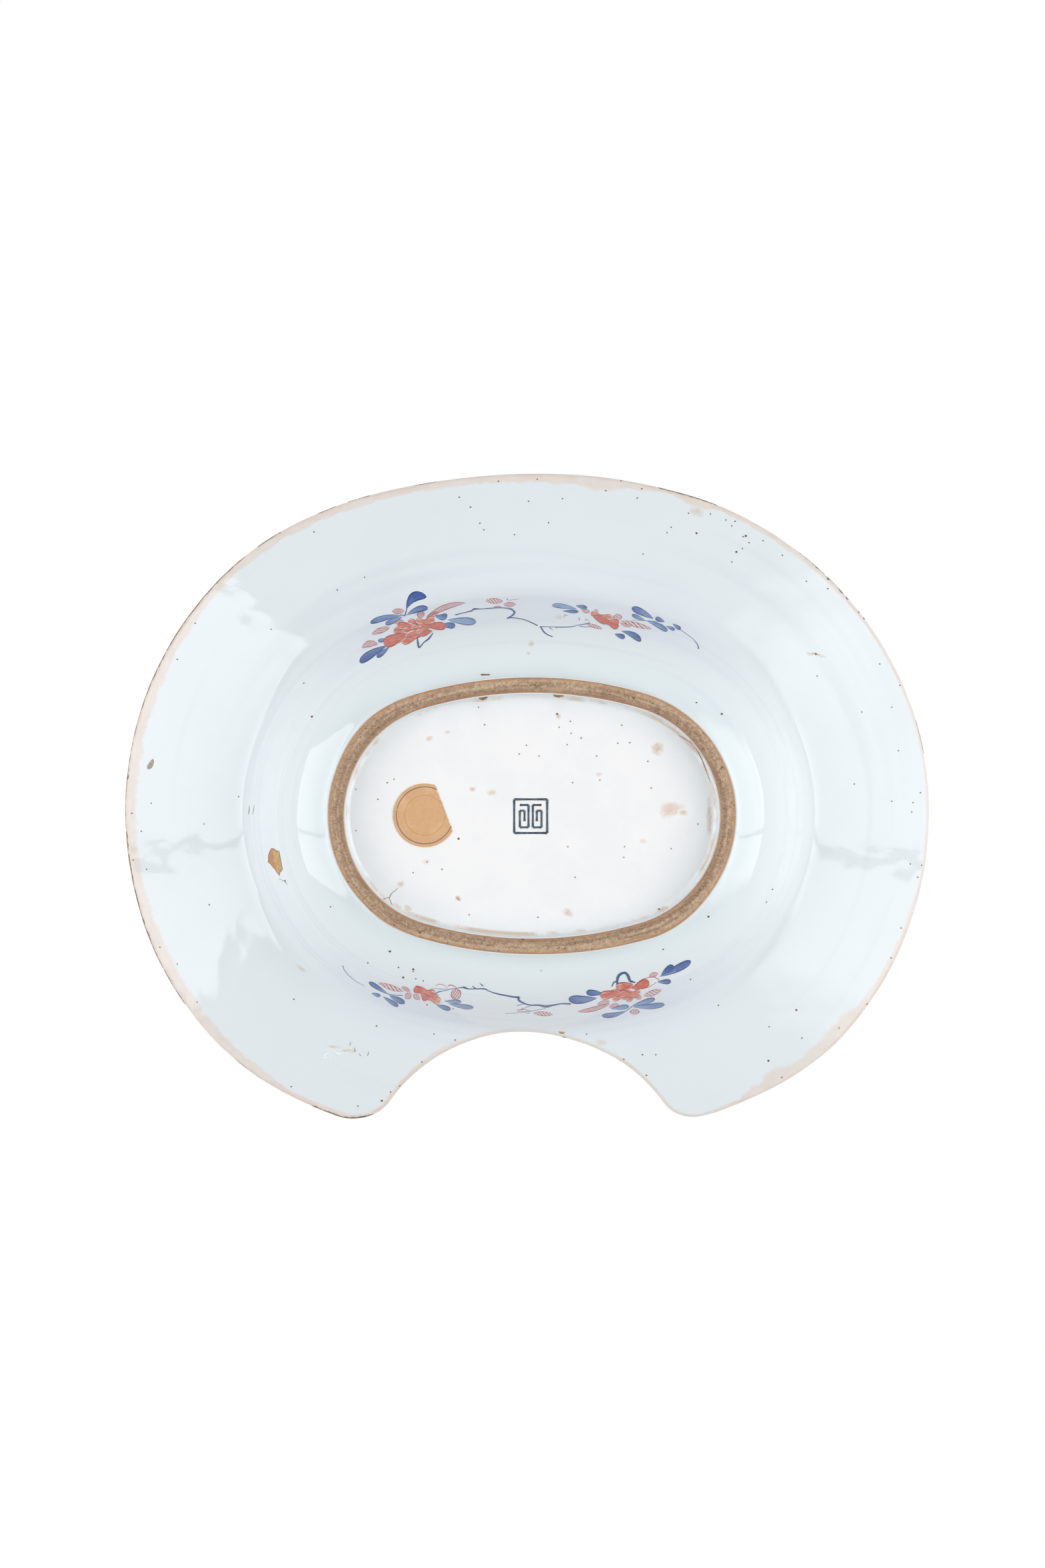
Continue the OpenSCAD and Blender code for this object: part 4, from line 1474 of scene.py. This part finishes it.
# Stains
# Soft rusty and pinkish stains where iron and dirt have crept under a thin glaze: patches on the base,
# and a few on the wall and the flange. Each has a middle, half-width, half-height, tilt and tone.
stains_base = [
    ((709, 1184), 8, 6, 0, 0.8), ((738, 1189), 10, 7, -10, 0.6), ((644, 1108), 8, 5, -20, 0.7),
    ((671, 1098), 6, 4, -20, 0.6), ((986, 1123), 13, 15, 30, 0.8), ((1005, 1214), 26, 16, -20, 0.7),
    ((1025, 1219), 9, 7, 0, 0.7), ((899, 1161), 8, 5, 0, 0.5), ((639, 1293), 8, 6, 0, 0.5),
    ((687, 1347), 7, 7, 40, 0.8), ((852, 1369), 12, 9, 0, 0.7), ((995, 1364), 14, 7, -25, 0.7),
    ((964, 1262), 9, 6, 0, 0.4), ((601, 1326), 7, 7, 0, 0.8), ((612, 1362), 9, 6, 30, 0.6),
    ((838, 1074), 6, 7, 0, 0.6), ((1064, 1225), 5, 45, 0, 0.8), ((1044, 1124), 6, 22, -38, 0.8),
    ((660, 1393), 30, 5, 16, 0.5),
]
stains_outside = [
    ((797, 966), 7, 7, 20, 0.7), ((793, 980), 3, 4, 0, 0.8), ((452, 1453), 16, 5, 35, 0.5),
    ((840, 926), 9, 6, 0, 0.4), ((903, 1564), 12, 7, 10, 0.35), ((812, 1456), 4, 4, 0, 0.5),
    ((500, 1570), 15, 4, 5, 0.6), ((526, 1576), 15, 3.5, 10, 0.6), ((1045, 768), 16, 9, 12, 0.5),
    ((1216, 981), 9, 4, 8, 0.7), ((1233, 984), 9, 3, 14, 0.5),
]

beige_stain, place = new_finish("beige_stain")
_, _, edge, tone = paint_shades(place)
blotch = place.grain(260, 5, 0.65)
rust = blotch.between(0.3, 0.7).mix(srgb(244, 224, 204), srgb(230, 186, 148))
soft = (edge + (blotch - 0.5) * 1.8).between(0.95, 0.0) * edge.between(1.0, 0.6)
fire_paint(place, rust, soft * tone * 0.7)
sheet = new_paint()
for stains, land in ((stains_base, on_base), (stains_outside, on_underside)):
    for middle_pixel, wide, tall, tilt, tone in stains:
        blot(sheet, middle_pixel, wide, tall, tilt, tone, land)
add_paint("rusty_stains", sheet, beige_stain)

# Chips and cracks
# Places where the glaze has flaked off or opened: chips that show the rusty clay, a crack along the
# inside of the foot, a forked one opposite, and the bare clay round the ends of the two holes.
chips_outside = [
    [(407, 1272), (419, 1277), (422, 1293), (424, 1304), (419, 1313), (413, 1305), (402, 1293),
     (403, 1281)],
    [(838, 1547), (848, 1548), (846, 1551), (840, 1550)],
]
glaze_losses = [
    [(230, 1138), (231, 1143), (229, 1150), (225, 1154), (221, 1153), (221, 1149), (224, 1144),
     (227, 1140)],
]
holes_outside = [
    [(721, 1011), (735, 1011), (735, 1013), (722, 1013.5)],
    [(829, 1011.5), (838, 1011.5), (837, 1013.5), (830, 1013.5)],
]
holes_base = [
    [(717, 1042), (725, 1041.5), (733, 1041.5), (731, 1047), (725, 1050.5), (719, 1048)],
    [(829, 1040.5), (838, 1040.5), (847, 1040.5), (845, 1044.5), (838, 1046.5), (832, 1044.5)],
]
cracks_base = [
    [(1018.7, 1103, 0.4), (1031, 1110, 0.7), (1042, 1119, 0.9), (1052.7, 1138, 0.8), (1060.7, 1159, 0.8),
     (1066.4, 1174.5, 0.4)],
    [(597, 1332, 0.3), (593, 1336, 0.6), (589, 1339, 0.5), (586, 1343, 0.7), (584, 1347, 0.8)],
    [(584, 1347, 0.7), (580, 1347, 0.6), (575, 1349, 0.7), (569, 1345, 0.5), (562, 1339, 0.4),
     (556, 1333, 0.3)],
    [(584, 1347, 0.6), (586, 1352, 0.5), (588, 1357, 0.9)],
    [(684, 1345, 0.4), (687, 1348, 0.8), (690, 1351, 0.5)],
    [(628, 1381, 0.3), (660, 1391, 0.5), (684, 1397, 0.4)],
    [(722, 1404, 0.3), (733, 1407, 0.8), (744, 1413, 0.3)],
]
# Nicks on the left horn, beside the large chip and at the right of the flange
scratches = [
    [(526.5, 1562, 0.3), (525.5, 1566, 0.9), (525, 1569, 0.3)],
    [(531.5, 1571, 0.4), (532.5, 1575, 1), (533, 1578, 0.4)], [(538, 1580, 0.3), (542, 1584, 0.8)],
    [(553, 1577, 0.3), (552.5, 1581, 0.8), (551, 1584, 0.3)],
    [(374.5, 1208, 0.3), (374, 1216, 0.9), (373, 1222, 0.4)],
    [(381.5, 1207, 0.3), (380.5, 1215, 0.8), (379, 1222, 0.4)], [(513, 1575, 0.3), (519, 1577, 0.6)],
    [(418, 1318, 0.3), (427, 1322, 0.8), (431, 1327, 0.3)],
    [(1218.5, 980, 0.5), (1224, 981, 1.2), (1230, 982.2, 0.6)],
]
# Painted glints: short white highlights painted on the left horn
glint_strokes = [
    [(486, 1584, 1.2), (489, 1581, 2.0), (493, 1580, 1.2)], [(486, 1586.5, 1.2), (490, 1587, 1.6)],
    [(495, 1586, 1.2), (498, 1585, 1.6)], [(500, 1576, 1.0), (507, 1580, 2.0), (513, 1581, 1.2)],
    [(522, 1577, 0.9), (530, 1577.5, 1.4)],
]

chip_clay, place = new_finish("chipped_clay")
along, _, edge, tone = paint_shades(place)
crumb = place.grain(900, 5, 0.7)
rusty = along.between(0.45, 0.68) * edge.between(0.0, 0.5)
crumbly = crumb.between(0.3, 0.7)
hole_clay = crumbly.mix(srgb(128, 96, 68), srgb(176, 140, 104))
pale_clay = crumbly.mix(srgb(150, 134, 108), srgb(206, 196, 176))
clay_shade = crumbly.mix(srgb(180, 144, 96), srgb(214, 182, 128))
clay_shade = (rusty * 0.8).mix(clay_shade, srgb(186, 132, 98))
clay_shade = tone.between(0.6, 0.4).mix(clay_shade, hole_clay)
clay_shade = tone.between(0.9, 1.0).mix(clay_shade, pale_clay)
clay_shade = (edge.between(0.86, 0.98) * 0.6).mix(clay_shade, srgb(120, 92, 64))
clay_shade = (crumb.between(0.4, 0.28) * 0.6).mix(clay_shade, srgb(128, 92, 66))
place.fire({"Base Color": clay_shade, "Roughness": 0.8, "Normal": place.relief(crumb, 0.3 * mm)})
crack_brown, place = new_finish("crack_brown")
_, _, edge, tone = paint_shades(place)
dirt = place.grain(800, 3, 0.6).between(0.3, 0.6).mix(srgb(104, 76, 54), srgb(166, 128, 98))
fire_paint(place, dirt, edge.between(1.0, 0.5) * (tone * 0.5 + 0.4))


def flaw(sheet, outline, tone, land):
    """A bare place with a drawn outline, given clockwise as the picture shows it."""
    corners = [Vector(point) for point in outline]
    middle = sum(corners, Vector((0, 0))) / len(corners)

    def pixel_at(along, across):
        place = along * len(corners)
        first = corners[int(place) % len(corners)]
        second = corners[(int(place) + 1) % len(corners)]
        edge_pixel = first.lerp(second, place % 1)
        ragged = 1 + 0.1 * noise.noise(edge_pixel.to_3d() * 0.6)
        return middle + (edge_pixel - middle) * across * ragged

    dab(sheet, 3 * len(corners), 4, pixel_at, tone, land, from_middle=True)


sheet = new_paint()
for outlines, tone, land in (
    (chips_outside, 0.8, on_underside),
    (glaze_losses, 1.0, on_underside),
    (holes_outside, 0.2, on_underside),
    (holes_base, 0.2, on_base),
):
    for outline_pixels in outlines:
        flaw(sheet, outline_pixels, tone, land)
add_paint("glaze_chips", sheet, chip_clay)
sheet = new_paint()
for points in cracks_base:
    stroke(sheet, points, 0.9, on_base)
for points in scratches:
    stroke(sheet, points, 0.35)
add_paint("glaze_cracks", sheet, crack_brown)
# Painted highlight: the glints are pure white paint over the glaze's gloss
painted_glint, place = new_finish("painted_glint")
_, _, edge, _ = paint_shades(place)
fire_paint(place, srgb(255, 255, 255), edge.between(1.0, 0.3))
sheet = new_paint()
for points in glint_strokes:
    stroke(sheet, points, 0.5)
add_paint("painted_glints", sheet, painted_glint)

# Iron edge
# What is left of a darker brown on the very edge of the rim: a thin line round the left end, more of
# it under the left horn, and short pieces and chips elsewhere.
edge_share = 0.3
edge_rise = 1.0 * mm
# Runs by first and last pixel, anticlockwise in the picture, degrees under the edge, and strength
iron_runs = [
    ((374, 830), (212, 1080), 52, 0.65), ((212, 1070), (186, 1250), 46, 0.7),
    ((187, 1240), (232, 1420), 62, 0.8), ((228, 1410), (285, 1502), 52, 0.65),
    ((194, 1156), (192, 1173), 82, 1.0), ((352, 1583), (402, 1622), 38, 0.5),
    ((466, 1659), (562, 1673), 66, 0.75), ((836, 1548), (847, 1550), 50, 1.0),
    ((1386, 1131), (1373, 1078), 40, 0.65), ((1246, 873), (1235, 864), 84, 1.0),
    ((1228, 857), (1221, 850), 60, 1.0), ((1266, 892), (1256, 882), 70, 1.0),
    ((1274, 902), (1268, 895), 70, 1.0), ((1291, 922), (1286, 916), 62, 1.0),
    ((1298, 931), (1294, 926), 62, 1.0), ((1078, 765), (986, 733), 52, 0.75),
    ((660, 727), (618, 737), 38, 0.5), ((507, 759), (478, 769), 40, 0.6),
    ((555, 737), (519, 749), 40, 0.6), ((424, 797), (386, 822), 50, 0.75),
    ((1236, 862), (1200, 829), 36, 0.6), ((1262, 889), (1240, 867), 34, 0.6),
]
column_turns = []
for column in range(lip_columns):
    spot = outline_place(column, 0)
    column_turns.append(math.atan2(spot.y - oval_y, spot.x))


def rim_column(pixel):
    """The rim's column in the direction of a pixel."""
    turn = picture_turn(pixel)

    def off_turn(column):
        return abs(math.remainder(column_turns[column] - turn, 2 * math.pi))

    return min(range(lip_columns), key=off_turn)


def iron_run(sheet, first_pixel, last_pixel, under, tone):
    """A brown line from the upright part of the edge to so many degrees round under it."""
    first = rim_column(first_pixel)
    steps = math.remainder(rim_column(last_pixel) - first, lip_columns)

    def place_at(along, across):
        return first + steps * along, across

    def land(edge_place, lift):
        column, across = edge_place
        reach = lip_round + lift
        turn = math.radians(90 - under * max(0.0, across - edge_share) / (1 - edge_share))
        spot = outline_place(column, lip_round - reach * math.sin(turn))
        rise = edge_rise * max(0.0, 1 - across / edge_share)
        return Vector((spot.x, spot.y, underside(spot) + lip_round - reach * math.cos(turn) + rise))

    dab(sheet, max(6, round(abs(steps))), 6, place_at, tone, land, from_middle=True)


iron_edge, place = new_finish("iron_edge")
along, _, edge, tone = paint_shades(place)
brown = place.grain(350, 4, 0.6).between(0.3, 0.7).mix(srgb(98, 74, 56), srgb(156, 120, 90))
left_over = (place.grain(160, 4, 0.65) + tone * 0.4).between(0.58, 0.7)
taper = (1 - along * (1 - along) * 4) * tone.between(0.9, 1.0)
fray = (place.grain(420, 3) - 0.5) * 0.9
ragged = (edge + taper + fray).between(1.0, 0.7) * edge.between(1.0, 0.92)
ragged = ragged * (edge - taper * 0.3 + fray * 0.4).between(0.02, 0.14)
ends = (along + fray * 0.1).between(0.0, 0.06) * (along - fray * 0.1).between(1.0, 0.94)
fire_paint(place, brown, left_over * ragged * ends * 0.92)
sheet = new_paint()
for run in iron_runs:
    iron_run(sheet, *run)
iron_left = add_piece("rim_iron_line", sheet, iron_edge)

# Floor
# A pale studio floor just under the foot, with a painted shadow: its colour darkens where the bowl
# shelters it. The camera looks at the underside through it, so it shows only from above.
floor_size = 10.0
floor_drop = 0.2 * mm
floor_glow = 0.75
shelter_reach = 90 * mm
floor_sheet = bmesh.new()
floor_place = Matrix.Translation((0, 0, -floor_drop))
bmesh.ops.create_grid(floor_sheet, x_segments=1, y_segments=1, size=floor_size / 2, matrix=floor_place)
floor_finish = bpy.data.materials.new("pale_floor")
tree = bare_tree(floor_finish)
seen = Shade(tree, tree.nodes.new("ShaderNodeLightPath").outputs["Is Camera Ray"])
behind = seen.node("ShaderNodeNewGeometry", {}, {}, "Backfacing")
# Painted shadow: ambient occlusion darkens the floor's colour near the bowl, both where it is lit and
# where it glows
floor_shadow = seen.node("ShaderNodeAmbientOcclusion", {"samples": 16}, {"Distance": shelter_reach}, "AO")
shadowed_grey = (floor_shadow * floor_shadow).mix(srgb(96, 96, 98), srgb(238, 238, 238))
lit = seen.node("ShaderNodeBsdfDiffuse", {}, {"Color": shadowed_grey})
pale = seen.node("ShaderNodeEmission", {}, {"Color": shadowed_grey})
matte = seen.node("ShaderNodeMixShader", {}, {0: floor_glow, 1: lit, 2: pale})
clear = seen.node("ShaderNodeBsdfTransparent", {}, {})
shown = seen * (1 - behind)
surface = seen.node("ShaderNodeMixShader", {}, {0: shown, 1: clear, 2: matte})
seen.node("ShaderNodeOutputMaterial", {}, {"Surface": surface})
floor_mesh = bpy.data.meshes.new("floor")
floor_sheet.to_mesh(floor_mesh)
floor_sheet.free()
floor_mesh.materials.append(floor_finish)
floor = bpy.data.objects.new("floor", floor_mesh)
scene.collection.objects.link(floor)

# Light
# Two tall soft panels stand left and right of the camera, each in two halves with a narrow gap, and the
# right-hand one fades at its ends. Two more hang above for the inside. The world is plain white to look
# at and a fill from around the horizon.
lamp_target = Vector((0, oval_y, 30 * mm))


def soft_panel(name, middle, facing_from, wide, tall, radiance):
    """A rectangular lamp that faces the bowl, with its tall side along Y."""
    lamp = bpy.data.lights.new(name, "AREA")
    lamp.shape = "RECTANGLE"
    lamp.size = wide
    lamp.size_y = tall
    lamp.energy = radiance * math.pi * wide * tall
    panel = bpy.data.objects.new(name, lamp)
    back = (facing_from - lamp_target).normalized()
    panel.matrix_world = Matrix.Translation(middle) @ turn_from(back).to_4x4()
    panel.visible_camera = False
    scene.collection.objects.link(panel)


panel_distance = 1.0
panel_polar = math.radians(48)
panel_wide = 1.0
panel_reach = 0.45
panel_gap = 0.03
panel_radiance = 2.45
left_split = -0.115
right_split = -0.12
lower_left_wide = 0.78
fade_start = 0.39
fade_end = 0.56
fade_steps = 6
above_apart = 0.7
above_forward = -0.3
above_height = 1.1
above_wide = 0.9
above_radiance = 1.6
fill_strength = 0.9
# Stretches of the panels along Y: side, start, end, width from the outer edge, and share of the radiance
stretches = [
    (1, left_split + panel_gap / 2, panel_reach, panel_wide, 1.0),
    (1, -panel_reach, left_split - panel_gap / 2, lower_left_wide, 1.0),
    (-1, right_split + panel_gap / 2, fade_start, panel_wide, 1.0),
    (-1, -fade_start, right_split - panel_gap / 2, panel_wide, 1.0),
]
fade_width = (fade_end - fade_start) / fade_steps
for step in range(fade_steps):
    start = fade_start + fade_width * step
    share = 1 - (step + 1) / (fade_steps + 1)
    stretches.append((-1, start, start + fade_width, panel_wide, share))
    stretches.append((-1, -start - fade_width, -start, panel_wide, share))
for number, (side, start, end, wide, share) in enumerate(stretches):
    centre = Vector((side * math.sin(panel_polar), 0, -math.cos(panel_polar))) * panel_distance
    facing = centre + lamp_target
    outward = Vector((side * math.cos(panel_polar), 0, math.sin(panel_polar)))
    middle = facing + outward * (panel_wide - wide) / 2 + Vector((0, (start + end) / 2, 0))
    soft_panel(f"panel_{number}", middle, facing, wide, end - start, panel_radiance * share)
for side in (1, -1):
    above = Vector((side * above_apart, above_forward, above_height))
    soft_panel(f"panel_above_{side}", above, above, above_wide, above_wide, above_radiance)

world = bpy.data.worlds.new("white_studio")
scene.world = world
tree = bare_tree(world)
camera_ray = Shade(tree, tree.nodes.new("ShaderNodeLightPath").outputs["Is Camera Ray"])
looked_at = camera_ray.most(camera_ray.part("Is Glossy Ray")).most(camera_ray.part("Is Transmission Ray"))
sky = camera_ray.node("ShaderNodeTexCoord", {}, {}, "Generated")
upright = sky.axis(2)
level = 1 - upright * upright
fill = level * level * fill_strength
strength = looked_at.most(fill)
backdrop = camera_ray.node("ShaderNodeBackground", {}, {"Color": (1, 1, 1, 1), "Strength": strength})
camera_ray.node("ShaderNodeOutputWorld", {}, {"Surface": backdrop})
